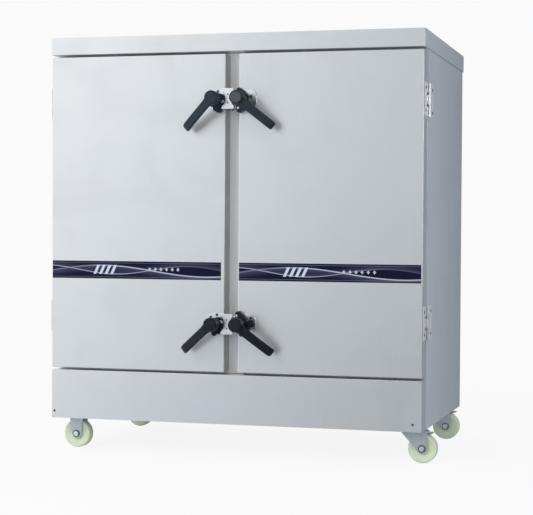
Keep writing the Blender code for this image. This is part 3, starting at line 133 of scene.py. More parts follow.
class CabinetSizes(bpy.types.PropertyGroup):
    sheet: size("Sheet", "Thickness of the casing's sheet steel", 0.0015)
    fold: size("Fold", "Outside radius of the casing's folded edges", 0.0024)
    door_fold: size("Door fold", "Outside radius of the doors' front edges", 0.0036)
    chamber_corner: size("Chamber corner", "Radius of the chambers' inner corners", 0.012)
    tray_corner: size("Tray corner", "Radius of the trays' corners", 0.022)
    gasket_bulb: size("Gasket bulb", "Radius of the gasket's hollow bulb", 0.0043)
    grip_width: size("Grip width", "Width of a latch handle's arm", 0.029)
    grip_depth: size("Grip depth", "Thickness of a latch handle's arm", 0.0135)
    grip_edge: size("Grip edge", "Edge radius of a latch handle's arm", 0.0044)
    hub_cap: size("Hub cap", "Radius of the disc let into a latch handle's hub", 0.0186)
    band_sheet: size("Band thickness", "Thickness of the printed bands on the doors", 0.0004)
    case_screw: size("Case screw", "Head radius of the casing's screws", 0.0042)
    hinge_screw: size("Hinge screw", "Head radius of the hinges' screws", 0.0046)
    latch_screw: size("Latch screw", "Head radius of the latch plates' screws", 0.0048)
    keeper_screw: size("Keeper screw", "Head radius of the keepers' screws", 0.0028)
    castor_bolt: size("Castor bolt", "Radius across the castor plates' bolt heads", 0.0060)
    tread_round: size("Tread rounding", "Radius of the wheels' shoulders", 0.0050)


class CabinetColours(bpy.types.PropertyGroup):
    sheet_steel: colour("Sheet steel", "Casing and doors", (0.805, 0.822, 0.832))
    # Near white, brighter than the sheet steel: painted light that lifts the centre post out of the shade of its
    # recess
    post_steel: colour("Post steel", "Centre post between the doors", (0.99, 0.995, 1.0))
    inner_steel: colour("Inner steel", "Chambers, trays and tank", (0.72, 0.73, 0.74))
    frame_steel: colour("Frame steel", "Galvanised chassis", (0.50, 0.52, 0.54))
    hinge_steel: colour("Hinge steel", "Hinges and axles", (0.92, 0.93, 0.94))
    latch_zinc: colour("Latch plating", "Latch plates and keepers", (0.97, 0.97, 0.98))
    castor_zinc: colour("Castor plating", "Castor forks and plates", (0.60, 0.655, 0.685))
    grip: colour("Grip", "Latch handles", (0.024, 0.034, 0.048))
    # Lighter than the grip, on one handle only: a painted reflection on the right upper handle's disc
    grip_disc: colour("Grip disc", "Disc in the right upper handle's hub", (0.078, 0.088, 0.088))
    nylon: colour("Nylon", "Castor wheels", (0.76, 0.86, 0.62))
    silicone: colour("Silicone", "Door gaskets", (0.74, 0.74, 0.71))
    foam: colour("Foam", "Insulation", (0.80, 0.68, 0.40))
    heater: colour("Heater", "Heating element", (0.36, 0.33, 0.30))
    brass: colour("Brass", "Drain valve", (0.72, 0.56, 0.28))
    lever: colour("Lever", "Drain valve's lever", (0.56, 0.05, 0.04))
    gland: colour("Gland", "Cable gland", (0.055, 0.055, 0.060))
    band_ground: colour("Band ground", "Dark ground of the printed bands", (0.0055, 0.0055, 0.028))
    band_figure: colour("Band figure", "Pale figures of the printed bands", (0.60, 0.66, 0.78))
    band_glow: colour("Band glow", "Soft waves of the printed bands", (0.052, 0.050, 0.100))


class StudioSettings(bpy.types.PropertyGroup):
    backdrop: amount("Backdrop", "Brightness of the backdrop that the camera sees", 0.956, max=1,
                     subtype="FACTOR")
    sky_low: amount("Studio shade", "Brightness of the studio behind the cabinet", 0.38)
    sky_high: amount("Studio light", "Brightness of the studio's brightest side", 1.10)
    ground_glow: amount("Ground light", "Brightness of the pale ground in reflections", 0.78)
    floor_light: amount("Floor light", "Brightness of white paper on the lit floor", 0.74)
    floor_shade: amount("Floor shade", "How strongly shadows show on the floor", 0.10, max=1,
                        subtype="FACTOR")
    key_power: amount("Key light", "Power of the soft light at the front left", 59, subtype="POWER",
                      unit="POWER")
    fill_power: amount("Fill light", "Power of the soft light beside the camera", 20, subtype="POWER",
                       unit="POWER")
    lens: amount("Lens", "Focal length of the camera", 89.95, 1, subtype="DISTANCE_CAMERA", unit="CAMERA")
    floor_size: size("Floor size", "Length of the floor's side", 14)


# Small helpers

def put(thing, **settings):
    """Set several of a thing's properties."""
    for key, value in settings.items():
        setattr(thing, key, value)
    return thing


def link(name, data):
    """A new object in the scene."""
    item = bpy.data.objects.new(name, data)
    bpy.context.scene.collection.objects.link(item)
    return item


def sizes():
    return bpy.context.scene.cabinet_sizes


def colours():
    return bpy.context.scene.cabinet_colours


# Node trees

class Wire:
    """A node's output; arithmetic on it adds Math nodes to its tree."""

    def __init__(self, tree, socket):
        self.tree, self.socket = tree, socket

    def math(self, operation, *terms):
        return result(self.tree, "ShaderNodeMath", dict(enumerate((self, *terms))), operation=operation)

    def to(self, socket):
        self.tree.links.new(self.socket, socket)

    def __add__(self, other):
        return self.math("ADD", other)

    def __sub__(self, other):
        return self.math("SUBTRACT", other)

    def __rsub__(self, other):
        return self.math("MULTIPLY_ADD", -1.0, other)

    def __mul__(self, other):
        return self.math("MULTIPLY", other)

    def __gt__(self, other):
        return self.math("GREATER_THAN", other)

    def __lt__(self, other):
        return self.math("LESS_THAN", other)

    def __abs__(self):
        return self.math("ABSOLUTE")

    __radd__ = __add__


def add_node(tree, kind, inputs=None, **settings):
    """A node whose inputs take values or other nodes' outputs, by name or by index."""
    node = put(tree.nodes.new(kind), **settings)
    for key, value in (inputs or {}).items():
        if isinstance(value, Wire):
            value.to(node.inputs[key])
        else:
            node.inputs[key].default_value = value
    return node


def result(tree, kind, inputs=None, output=0, **settings):
    """One output of a new node."""
    return Wire(tree, add_node(tree, kind, inputs, **settings).outputs[output])


def vector(tree, *parts):
    return result(tree, "ShaderNodeCombineXYZ", dict(enumerate(parts)))


def object_place(tree):
    return result(tree, "ShaderNodeTexCoord", output="Object")


def split(place):
    """The three parts of a vector."""
    node = add_node(place.tree, "ShaderNodeSeparateXYZ", {0: place})
    return [Wire(place.tree, socket) for socket in node.outputs]


def ray(tree, kind):
    return result(tree, "ShaderNodeLightPath", output=kind)


def shared(share, first, second):
    """A surface between two."""
    return result(share.tree, "ShaderNodeMixShader", {0: share, 1: first, 2: second})


def ramp(value, low, high, start=0.0, end=1.0, smooth=True):
    return result(value.tree, "ShaderNodeMapRange",
                  {"Value": value, "From Min": low, "From Max": high, "To Min": start, "To Max": end},
                  "Result", interpolation_type="SMOOTHSTEP" if smooth else "LINEAR")


def blend(share, first, second):
    """A colour between two."""
    return result(share.tree, "ShaderNodeMix", {0: share, 6: first, 7: second}, 2, data_type="RGBA")


def noise(place, scale, detail, **more):
    return result(place.tree, "ShaderNodeTexNoise",
                  {"Vector": place, "Scale": scale, "Detail": detail, **more}, "Fac")


def bump(height, strength, distance, **more):
    return result(height.tree, "ShaderNodeBump",
                  {"Height": height, "Strength": strength, "Distance": distance, **more})


def new_group(name, kind, inputs, outputs):
    """A node group; inputs are names with defaults, and outputs are names with kinds."""
    kinds = {float: "Float", int: "Int", tuple: "Vector"}
    group = bpy.data.node_groups.new(name, kind)
    for label, default in inputs.items():
        socket = group.interface.new_socket(label, in_out="INPUT",
                                            socket_type="NodeSocket" + kinds.get(type(default), label))
        if default is not None:
            socket.default_value = default
    for label, socket_kind in outputs.items():
        group.interface.new_socket(label, in_out="OUTPUT", socket_type="NodeSocket" + socket_kind)
    given = {socket.name: Wire(group, socket) for socket in group.nodes.new("NodeGroupInput").outputs}
    return group, given, group.nodes.new("NodeGroupOutput").inputs


def surface_group(name, inputs):
    """A shader group that puts out a shade, a roughness and a normal."""
    return new_group(name, "ShaderNodeTree", inputs,
                     {"Shade": "Float", "Roughness": "Float", "Normal": "Vector"})


def grain_group():
    """Fine rolled or brushed lines along one direction, with faint wiping marks and slow waves."""
    group, given, out = surface_group("sheet_grain", {
        "Lines": (260, 260, 3), "Line Depth": 0.03, "Wave Depth": 0.1, "Roughness": 0.3, "Smudge": 0.08})
    place = object_place(group)
    lines = noise(result(group, "ShaderNodeMapping", {"Vector": place, "Scale": given["Lines"]}),
                  1.0, 3.0, Roughness=0.6)
    fine = ramp(lines, 0.3, 0.7, -1.0, 1.0, smooth=False)
    smudges = ramp(noise(place, 6.0, 4.0, Distortion=0.6), 0.42, 0.68)
    (1.0 + fine * 0.009 - smudges * 0.02).to(out["Shade"])
    (given["Roughness"] + fine * 0.02 + smudges * given["Smudge"]).to(out["Roughness"])
    waves = bump(noise(place, 1.7, 1.0), given["Wave Depth"], 0.02)
    bump(lines, given["Line Depth"], 0.0006, Normal=waves).to(out["Normal"])
    return group


def mottle_group():
    """Uneven colour and a fine skin, as on castings and moulded plastic."""
    group, given, out = surface_group("mottle", {
        "Spot Scale": 60.0, "Skin Scale": 900.0, "Skin Depth": 0.1, "Unevenness": 0.1, "Roughness": 0.45})
    place = object_place(group)
    uneven = ramp(noise(place, given["Spot Scale"], 3.0), 0.3, 0.7, -1.0, 1.0, smooth=False)
    (1.0 + uneven * given["Unevenness"]).to(out["Shade"])
    (given["Roughness"] + uneven * 0.05).to(out["Roughness"])
    bump(noise(place, given["Skin Scale"], 2.0), given["Skin Depth"], 0.0004).to(out["Normal"])
    return group


def plain_material(name):
    material = bpy.data.materials.new(name)
    material.use_nodes = True
    return material, material.node_tree, material.node_tree.nodes["Principled BSDF"]


def worked_material(name, group, tint, metallic, values, fall=None, gloss=0.5):
    """A Principled material whose shade, roughness and normal come from one of the groups.

    A painted shade ramp, if given, is (axis, start, end, first share, last share): the tone changes over those
    places, as painted shade.
    """
    material, tree, shader = plain_material(name)
    surface = add_node(tree, "ShaderNodeGroup", values, node_tree=group)
    shader.inputs["Metallic"].default_value = metallic
    shader.inputs["Specular IOR Level"].default_value = gloss
    tone = Wire(tree, surface.outputs["Shade"])
    # Painted shade: the tone is scaled along one axis of the object's place
    if fall:
        axis, *steps = fall
        along = result(tree, "ShaderNodeSeparateXYZ", {0: object_place(tree)}, axis)
        tone = tone * ramp(along, *steps, smooth=False)
    result(tree, "ShaderNodeVectorMath", {0: (*tint,), "Scale": tone},
           operation="SCALE").to(shader.inputs["Base Color"])
    for label in ("Roughness", "Normal"):
        tree.links.new(surface.outputs[label], shader.inputs[label])
    material.diffuse_color = (*tint, 1)
    return material


LOOKS = {}


def make_looks():
    """All materials: sheets with fine lines, and castings with a mottled skin."""
    grain, mottle, tint = grain_group(), mottle_group(), colours()
    upright, level, across = (230, 230, 4), (4, 230, 230), (230, 4, 230)

    def sheet(name, shade, lines, rough, metallic, wave=0.05, depth=0.008, smudge=0.05, fall=None):
        LOOKS[name] = worked_material(name, grain, shade, metallic, {
            "Lines": lines, "Roughness": rough, "Wave Depth": wave, "Line Depth": depth, "Smudge": smudge},
            fall)

    def cast(name, metallic, rough, spots=60.0, skin=900.0, depth=0.1, uneven=0.1, shade=None, **more):
        LOOKS[name] = worked_material(name, mottle, shade or getattr(tint, name), metallic, {
            "Roughness": rough, "Spot Scale": spots, "Skin Scale": skin, "Skin Depth": depth,
            "Unevenness": uneven}, **more)

    sheet("case_upright", tint.sheet_steel, upright, 0.30, 0.7)
    sheet("case_level", tint.sheet_steel, level, 0.30, 0.7)
    # Side sheet: painted shade, the tone darkens from the front (1.02) to the back (0.72)
    sheet("side_sheet", tint.sheet_steel, upright, 0.32, 0.7, fall=("Y", -0.32, 0.32, 1.02, 0.72))
    # Darker copies of the sheet steel: painted shade on the doors' and base's side faces, and deeper painted shade
    # on the faces into the seam between the doors
    for name, share in (("door_edge", 0.78), ("seam_edge", 0.50)):
        sheet(name, [share * part for part in tint.sheet_steel], upright, 0.34, 0.8)
    # A brighter copy of the steel for the centre post: painted light against the shade of its recess
    sheet("post_steel", tint.post_steel, upright, 0.42, 0.2)
    sheet("inner_upright", tint.inner_steel, upright, 0.36, 0.75, wave=0.04, depth=0.006)
    sheet("inner_across", tint.inner_steel, across, 0.34, 0.8, wave=0.04, depth=0.006)
    sheet("frame_steel", tint.frame_steel, level, 0.42, 1.0, wave=0.10, depth=0.1, smudge=0.15)
    sheet("hinge_steel", tint.hinge_steel, upright, 0.26, 0.65, depth=0.02)
    cast("latch_zinc", 1.0, 0.26, depth=0.015, uneven=0.02)
    cast("castor_zinc", 0.6, 0.40, depth=0.06, uneven=0.06)
    # The grip's tone darkens towards the bottom, so the lower handles, brackets and boss are darker: painted shade
    cast("grip", 0.0, 0.42, skin=1400.0, depth=0.35, fall=("Z", 0.50, 1.10, 0.48, 1.0), gloss=0.20)
    # A lighter disc for the right upper handle alone: painted reflection
    cast("grip_disc", 0.0, 0.50, skin=1400.0, depth=0.35, gloss=0.20)
    cast("nylon", 0.0, 0.38, spots=35.0, depth=0.05, uneven=0.05)
    cast("silicone", 0.0, 0.62, spots=90.0, depth=0.2, uneven=0.04)
    cast("foam", 0.0, 0.95, spots=220.0, skin=700.0, depth=0.9, uneven=0.16)
    cast("heater", 1.0, 0.48, spots=40.0, depth=0.3, uneven=0.22)
    cast("brass", 1.0, 0.30, spots=80.0, uneven=0.12)
    cast("lever", 0.0, 0.35, skin=500.0, uneven=0.06)
    cast("gland", 0.0, 0.50, depth=0.25)
    cast("dark_screw", 1.0, 0.42, shade=(0.16, 0.17, 0.18))
    cast("bright_screw", 1.0, 0.28, uneven=0.05, shade=(0.80, 0.81, 0.82))
    LOOKS["band_print"] = band_material()


def line_mask(across, middle, width, soft):
    """1 on a line of that half width about the middle value, fading over soft."""
    return ramp(abs(across - middle), width, width + soft, 1.0, 0.0)


def band_material():
    """A dark printed band: slow pale waves, a row of slanted bars, small lozenges and thin border lines."""
    material, tree, shader = plain_material("band_print")
    tint = colours()
    u, v, _ = split(result(tree, "ShaderNodeUVMap", uv_map="band"))
    lower = 0.46 + (u * 5.2).math("SINE") * 0.30
    upper = 0.50 + (u * 7.4 + 1.9).math("SINE") * 0.24
    glow = ramp(lower - v, 0.0, 0.42, 1.0, 0.0) * (lower > v)
    glow = glow.math("MAXIMUM", ramp(v - upper, 0.0, 0.36, 0.75, 0.0) * (v > upper))
    ground = blend(glow, (*tint.band_ground, 1), (*tint.band_glow, 1))
    slanted = u * 11.9 + v * -0.55
    bars = ((slanted * 2.5).math("FRACT") < 0.50) * (slanted > 2.8) * (slanted < 4.4)
    lozenge = abs((u * 30.0).math("FRACT") - 0.5) * 1.25 + abs(v - 0.56) * 3.2
    figure = bars * (v > 0.26) * (v < 0.78)
    for part in ((lozenge < 0.36) * (u > 0.5667) * (u < 0.7667) * 0.75,
                 line_mask(0.5 - abs(v - 0.5), 0.10, 0.006, 0.02) * 0.16,
                 line_mask(v, lower, 0.006, 0.045) * ramp(u, 0.10, 0.55, 0.25, 0.85),
                 line_mask(v, upper, 0.004, 0.035) * ramp(u, 0.30, 0.95, 0.6, 0.1)):
        figure = figure.math("MAXIMUM", part)
    blend(figure, ground, (*tint.band_figure, 1)).to(shader.inputs["Base Color"])
    shader.inputs["Roughness"].default_value = 0.40
    shader.inputs["Specular IOR Level"].default_value = 0.12
    bump(noise(object_place(tree), 350.0, 2.0), 0.05, 0.0003).to(shader.inputs["Normal"])
    material.diffuse_color = (*tint.band_ground, 1)
    return material


# Shapes

def piece_from(name, shape):
    """An object in the scene from a bmesh."""
    mesh = bpy.data.meshes.new(name)
    shape.to_mesh(mesh)
    shape.free()
    return link(name, mesh)


def settle(piece):
    """Turn the piece's modifiers into plain mesh."""
    graph = bpy.context.evaluated_depsgraph_get()
    mesh = bpy.data.meshes.new_from_object(piece.evaluated_get(graph), preserve_all_data_layers=True,
                                           depsgraph=graph)
    piece.modifiers.clear()
    piece.data = mesh
    mesh.name = piece.name
    return piece


def soften(piece, width, segments=2, angle=30):
    """Round the sharp edges."""
    put(piece.modifiers.new("rounded_edges", "BEVEL"), width=width, segments=segments,
        limit_method="ANGLE", angle_limit=math.radians(angle), use_clamp_overlap=True)
    return piece


def shade(piece):
    """Smooth shading that stays flat on flat faces."""
    settle(piece)
    piece.data.shade_smooth()
    piece.data.set_sharp_from_angle(angle=math.radians(38))
    piece.modifiers.new("even_shading", "WEIGHTED_NORMAL").keep_sharp = True
    return settle(piece)


def dress(piece, look, body, slot, *nodes):
    """Give the piece its finish and its place in the frame."""
    shade(piece)
    piece.data.materials.clear()
    piece.data.materials.append(LOOKS[look])
    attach(piece, body)
    if nodes:
        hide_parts(*nodes)
    return piece


def cover(node, piece, look):
    """Dress a piece that takes the place of a solid, on the same body."""
    return dress(piece, look, BODY_OF[node], SLOT_OF[node], node)


def tone_faces(piece, look, chosen):
    """Another finish on the faces that chosen names."""
    piece.data.materials.append(LOOKS[look])
    for face in piece.data.polygons:
        if chosen(face.normal):
            face.material_index = len(piece.data.materials) - 1


def box_shape(low, high):
    low, high = Vector(low), Vector(high)
    shape = bmesh.new()
    bmesh.ops.create_cube(shape, size=1, matrix=Matrix.Translation((low + high) / 2)
                          @ Matrix.Diagonal((*(high - low), 1)))
    return shape


def point_out(shape):
    bmesh.ops.recalc_face_normals(shape, faces=shape.faces[:])


def turn_over(shape):
    bmesh.ops.reverse_faces(shape, faces=shape.faces[:])


def bevel(shape, edges, radius, segments):
    bmesh.ops.bevel(shape, geom=edges, offset=radius, segments=segments, profile=0.5, affect="EDGES",
                    clamp_overlap=True)


def round_edges(shape, radius, segments):
    """Round every folded edge of a shape; open edges stay."""
    bevel(shape, [edge for edge in shape.edges
                  if len(edge.link_faces) == 2 and edge.calc_face_angle() > 0.5], radius, segments)


def thicken(piece, thickness, offset=-1):
    """Give a sheet its thickness, to its inner side unless offset says otherwise."""
    put(piece.modifiers.new("sheet", "SOLIDIFY"), thickness=thickness, offset=offset, use_even_offset=True)
    return piece


def folded_sheet(name, low, high, fold, is_open, slits=(), segments=3):
    """A box folded from sheet, without the faces that is_open names; slits are (axis, place) cuts."""
    shape = box_shape(low, high)
    for axis, place in slits:
        point, normal = Vector(), Vector()
        point[axis], normal[axis] = place, 1
        bmesh.ops.bisect_plane(shape, geom=shape.verts[:] + shape.edges[:] + shape.faces[:],
                               plane_co=point, plane_no=normal)
    gone = [face for face in shape.faces if is_open(face.normal, face.calc_center_median())]
    bmesh.ops.delete(shape, geom=gone, context="FACES")
    round_edges(shape, fold, segments)
    return thicken(piece_from(name, shape), sizes().sheet)


def block(name, low, high, edge=0.0):
    shape = box_shape(low, high)
    if edge:
        round_edges(shape, edge, 2)
    return piece_from(name, shape)


def arc(middle, radius, start, end, steps):
    """Points of an arc in 2-D; the angles are in degrees."""
    angles = [math.radians(start + (end - start) * step / steps) for step in range(steps + 1)]
    return [(middle[0] + radius * math.cos(angle), middle[1] + radius * math.sin(angle))
            for angle in angles]


def link_outline(middle, root, end, tip):
    """The outline round two circles of radius root and tip."""
    run = Vector(end) - Vector(middle)
    heading = math.degrees(math.atan2(run.y, run.x))
    lean = math.degrees(math.acos(max(-1.0, min(1.0, (root - tip) / run.length))))
    return (arc(end, tip, heading - lean, heading + lean, 14)
            + arc(middle, root, heading + lean, heading + 360 - lean, 20))


def rounded_outline(low, high, radii, steps=8):
    """A rectangle with a radius for each corner: high-high, low-high, low-low and high-low."""
    (x0, y0), (x1, y1) = low, high
    a, b, c, d = radii
    return (arc((x1 - a, y1 - a), a, 0, 90, steps) + arc((x0 + b, y1 - b), b, 90, 180, steps)
            + arc((x0 + c, y0 + c), c, 180, 270, steps) + arc((x1 - d, y0 + d), d, 270, 360, steps))


def turned(place, *turns):
    """A place with turns about its own axes; each turn is (radians, axis)."""
    matrix = Matrix.Translation(place)
    for angle, axis in turns:
        matrix = matrix @ Matrix.Rotation(angle, 4, axis)
    return matrix


def facing_front(x, y, z, turn=0.0):
    """Local X runs right, local Y up and local Z to the front; turn is in degrees, from the front."""
    return turned((x, y, z), (QUARTER, "X"), (math.radians(turn), "Z"))


def cover_copy(node, look, edge, segments=2):
    """Dress a node in its own solid, with the edges rounded."""
    shape = bmesh.new()
    shape.from_mesh(NODES[node].data)
    bmesh.ops.remove_doubles(shape, verts=shape.verts[:], dist=0.00002)
    bmesh.ops.dissolve_limit(shape, angle_limit=math.radians(0.5), verts=shape.verts[:],
                             edges=shape.edges[:])
    return cover(node, soften(piece_from(node + "_finished", shape), edge, segments), look)


def slab(name, outline, thickness, place, edge=0.0, segments=2):
    """A flat plate of the outlined shape, its back on place's XY plane; outlines run anticlockwise."""
    shape = bmesh.new()
    face = shape.faces.new([shape.verts.new((x, y, 0)) for x, y in outline])
    face.normal_flip()
    raised = bmesh.ops.extrude_face_region(shape, geom=[face])
    bmesh.ops.translate(shape, vec=(0, 0, thickness),
                        verts=[item for item in raised["geom"] if isinstance(item, bmesh.types.BMVert)])
    point_out(shape)
    if edge:
        bevel(shape, [line for line in shape.edges if all(vert.co.z > thickness / 2 for vert in line.verts)],
              edge, segments)
    shape.transform(place)
    return piece_from(name, shape)


def lathe(name, profile, place, steps=32, ring=False):
    """A turned shape about place's Z axis; (radius, height) pairs run from the bottom up its outside."""
    shape = bmesh.new()
    points = list(profile)
    if not ring:
        if points[0][0] > 0:
            points.insert(0, (0, points[0][1]))
        if points[-1][0] > 0:
            points.append((0, points[-1][1]))
    verts = [shape.verts.new((radius, 0, height)) for radius, height in points]
    edges = [shape.edges.new(pair) for pair in zip(verts, verts[1:])]
    if ring:
        edges.append(shape.edges.new((verts[-1], verts[0])))
    bmesh.ops.spin(shape, geom=verts + edges, cent=(0, 0, 0), axis=(0, 0, 1), angle=math.tau, steps=steps,
                   use_merge=True)
    bmesh.ops.remove_doubles(shape, verts=shape.verts[:], dist=0.00001)
    point_out(shape)
    shape.transform(place)
    return piece_from(name, shape)


def carve(piece, *tools, operation="DIFFERENCE"):
    """Cut the tools out of the piece, or fuse them to it, and drop them."""
    for tool in tools:
        put(piece.modifiers.new("carve", "BOOLEAN"), operation=operation, object=tool, solver="EXACT")
        settle(piece)
        bpy.data.objects.remove(tool, do_unlink=True)
    return piece


def drill(radius, place, depth=0.01):
    """A tool for a round hole, from 10 mm behind place's XY plane to that depth."""
    return lathe("drill", [(radius, -0.01), (radius, depth)], place)


def gathered(name, pieces):
    """Several closed shapes in one mesh."""
    shape = bmesh.new()
    for piece in pieces:
        settle(piece)
        shape.from_mesh(piece.data)
        bpy.data.objects.remove(piece, do_unlink=True)
    return piece_from(name, shape)


def ring_skin(sections):
    """A skin over closed rings of points, closed at the first ring."""
    shape = bmesh.new()
    rings = [[shape.verts.new(point) for point in section] for section in sections]
    for near, far in zip(rings, rings[1:]):
        for index in range(len(near)):
            after = (index + 1) % len(near)
            shape.faces.new((near[index], near[after], far[after], far[index]))
    shape.faces.new(rings[0])
    return shape, rings


def sweep(name, sections):
    """A skin over closed rings of points, with flat ends."""
    shape, rings = ring_skin(sections)
    shape.faces.new(rings[-1])
    point_out(shape)
    return piece_from(name, shape)


# Geometry Nodes

def shape_group(name, inputs):
    """A geometry group that takes loose points and a material, and puts out geometry."""
    return new_group(name, "GeometryNodeTree", {"Geometry": None, **inputs, "Material": None},
                     {"Geometry": "Geometry"})


def on_points(group, given, out, shape, **turning):
    """End a group: its shape on each point, turned to the point's facing, with the group's material."""
    values = {"Points": given["Geometry"], "Instance": shape}
    if turning:
        facing = result(group, "GeometryNodeInputNamedAttribute", {"Name": "facing"}, "Attribute",
                        data_type="FLOAT_VECTOR")
        values["Rotation"] = result(group, "FunctionNodeAlignRotationToVector", {"Vector": facing},
                                    **turning)
    placed = result(group, "GeometryNodeInstanceOnPoints", values)
    real = result(group, "GeometryNodeRealizeInstances", {"Geometry": placed})
    result(group, "GeometryNodeSetMaterial",
           {"Geometry": real, "Material": given["Material"]}).to(out["Geometry"])
    return group


def moved_bar(group, measures, place):
    """A box with its middle at a place."""
    shape = result(group, "GeometryNodeMeshCube", {"Size": vector(group, *measures)})
    return result(group, "GeometryNodeTransform", {"Geometry": shape, "Translation": vector(group, *place)})


def joined(group, kind, socket, parts, **settings):
    """The parts linked in turn to one socket of a new node."""
    node = add_node(group, kind, **settings)
    for part in parts:
        part.to(node.inputs[socket])
    return Wire(group, node.outputs[0])


def node_piece(name, group, look, points, values, facings=None):
    """Run a Geometry Nodes group on loose points and return its result as a plain mesh."""
    mesh = bpy.data.meshes.new(name)
    mesh.from_pydata([tuple(point) for point in points], [], [])
    if facings:
        attribute = mesh.attributes.new("facing", "FLOAT_VECTOR", "POINT")
        for index, facing in enumerate(facings):
            attribute.data[index].vector = facing
    piece = link(name, mesh)
    modifier = piece.modifiers.new("build", "NODES")
    modifier.node_group = bpy.data.node_groups[group]
    sockets = {item.name: item.identifier for item in modifier.node_group.interface.items_tree
               if item.item_type == "SOCKET" and item.in_out == "INPUT"}
    for label, value in {**values, "Material": LOOKS[look]}.items():
        modifier[sockets[label]] = value
    return settle(piece)


def fastener_group():
    """Screw, bolt or rivet heads on points, each turned to face the point's own direction."""
    group, given, out = shape_group("fastener_heads", {
        "Radius": 0.004, "Height": 0.0016, "Crown": 0.7, "Sides": 20, "Slot Width": 0.0012})
    radius, height, slot = given["Radius"], given["Height"], given["Slot Width"]
    head = result(group, "GeometryNodeMeshCone", {
        "Vertices": given["Sides"], "Radius Top": radius * given["Crown"], "Radius Bottom": radius,
        "Depth": height})
    bars = [moved_bar(group, measures, (0.0, 0.0, height))
            for measures in ((radius * 1.15, slot, height * 1.1), (slot, radius * 1.15, height * 1.1))]
    cross = joined(group, "GeometryNodeMeshBoolean", "Mesh 2", bars, operation="UNION")
    slotted = result(group, "GeometryNodeMeshBoolean", {"Mesh 1": head, "Mesh 2": cross},
                     operation="DIFFERENCE")
    has_slot = result(group, "FunctionNodeCompare", {0: slot, 1: 0.0}, operation="GREATER_THAN")
    chosen = result(group, "GeometryNodeSwitch", {"Switch": has_slot, "False": head, "True": slotted},
                    input_type="GEOMETRY")
    return on_points(group, given, out, chosen, axis="Z")


def rack_group():
    """Runners one above the other: an L-shaped slat at each point of an upright line."""
    group, given, out = shape_group("runner_rack", {
        "Count": 9, "Pitch": 0.1, "Length": 0.5, "Reach": 0.016, "Leg": 0.018, "Sheet": 0.0015})
    length, reach, leg, sheet = (given[name] for name in ("Length", "Reach", "Leg", "Sheet"))
    slat = joined(group, "GeometryNodeJoinGeometry", 0, [
        moved_bar(group, (reach, length, sheet), (reach * 0.5, 0.0, sheet * -0.5)),
        moved_bar(group, (sheet, length, leg), (sheet * 0.5, 0.0, leg * -0.5))])
    step = vector(group, 0.0, 0.0, given["Pitch"])
    line = result(group, "GeometryNodeMeshLine", {"Count": given["Count"], "Offset": step}, mode="OFFSET")
    column = result(group, "GeometryNodeInstanceOnPoints", {"Points": line, "Instance": slat})
    return on_points(group, given, out, column, axis="X", pivot_axis="Z")


def gasket_group():
    """A bulb on a foot, swept round an upright rounded rectangle about each point."""
    group, given, out = shape_group("door_gasket", {
        "Width": 0.5, "Height": 1.0, "Corner": 0.02, "Bulb": 0.0043, "Foot Width": 0.015, "Foot": 0.003})
    frame, foot = (result(group, "GeometryNodeCurvePrimitiveQuadrilateral",
                          {"Width": given[width], "Height": given[height]})
                   for width, height in (("Width", "Height"), ("Foot Width", "Foot")))
    path = result(group, "GeometryNodeFilletCurve",
                  {"Curve": frame, "Count": 8, "Radius": given["Corner"]}, mode="POLY")
    bulb = result(group, "GeometryNodeCurvePrimitiveCircle",
                  {"Resolution": 20, "Radius": given["Bulb"]}, mode="RADIUS")
    raised = result(group, "GeometryNodeTransform", {
        "Geometry": bulb, "Translation": vector(group, 0.0, given["Bulb"] + given["Foot"] * 0.3, 0.0)})
    profile = joined(group, "GeometryNodeJoinGeometry", 0, (foot, raised))
    swept = result(group, "GeometryNodeCurveToMesh",
                   {"Curve": path, "Profile Curve": profile, "Fill Caps": True})
    upright = result(group, "GeometryNodeTransform", {"Geometry": swept, "Rotation": (QUARTER, 0, 0)})
    return on_points(group, given, out, upright)


def fix_heads(name, body, slot, look, places, radius, height, crown=0.7, sides=20, slot_width=0.0012):
    """Fastener heads of one kind on one body; places are (point, facing)."""
    points, facings = zip(*places)
    values = {"Radius": radius, "Height": height, "Crown": crown, "Sides": sides, "Slot Width": slot_width}
    return dress(node_piece(name, "fastener_heads", look, points, values, facings), look, body, slot)


# Operators, one for each piece or group of like pieces

def latch_post(side, level):
    """Where a latch handle's post meets the door's face."""
    return Vector(JOINTS["%s_%s_latch_handle_turn" % (side, level)]["pos_m"])


def rest_turn(side, level):
    """The direction of a handle's arm at rest, in degrees from +X, seen from the front."""
    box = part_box("%s_%s_latch_handle" % (side, level))
    post = latch_post(side, level)
    swing = JOINTS["%s_%s_latch_handle_turn" % (side, level)]["range_deg"][1]
    outward = 1 if box[1].x - post.x > post.x - box[0].x else -1
    return -90 + outward * swing


class CABINET_OT_finishes(bpy.types.Operator):
    """Make the materials and the node groups, and finish the inner pieces that keep their shape"""
    bl_idname = "cabinet.finishes"
    bl_label = "Finishes"

    def execute(self, context):
        make_looks()
        for build in (fastener_group, rack_group, gasket_group):
            build()
        kept = {"back_panel": "case_upright", "chassis": "frame_steel", "insulation": "foam",
                "water_tank": "inner_across", "heating_element": "heater"}
        for node, look in kept.items():
            for slot in NODES[node].material_slots:
                slot.material = LOOKS[look]
        return {"FINISHED"}


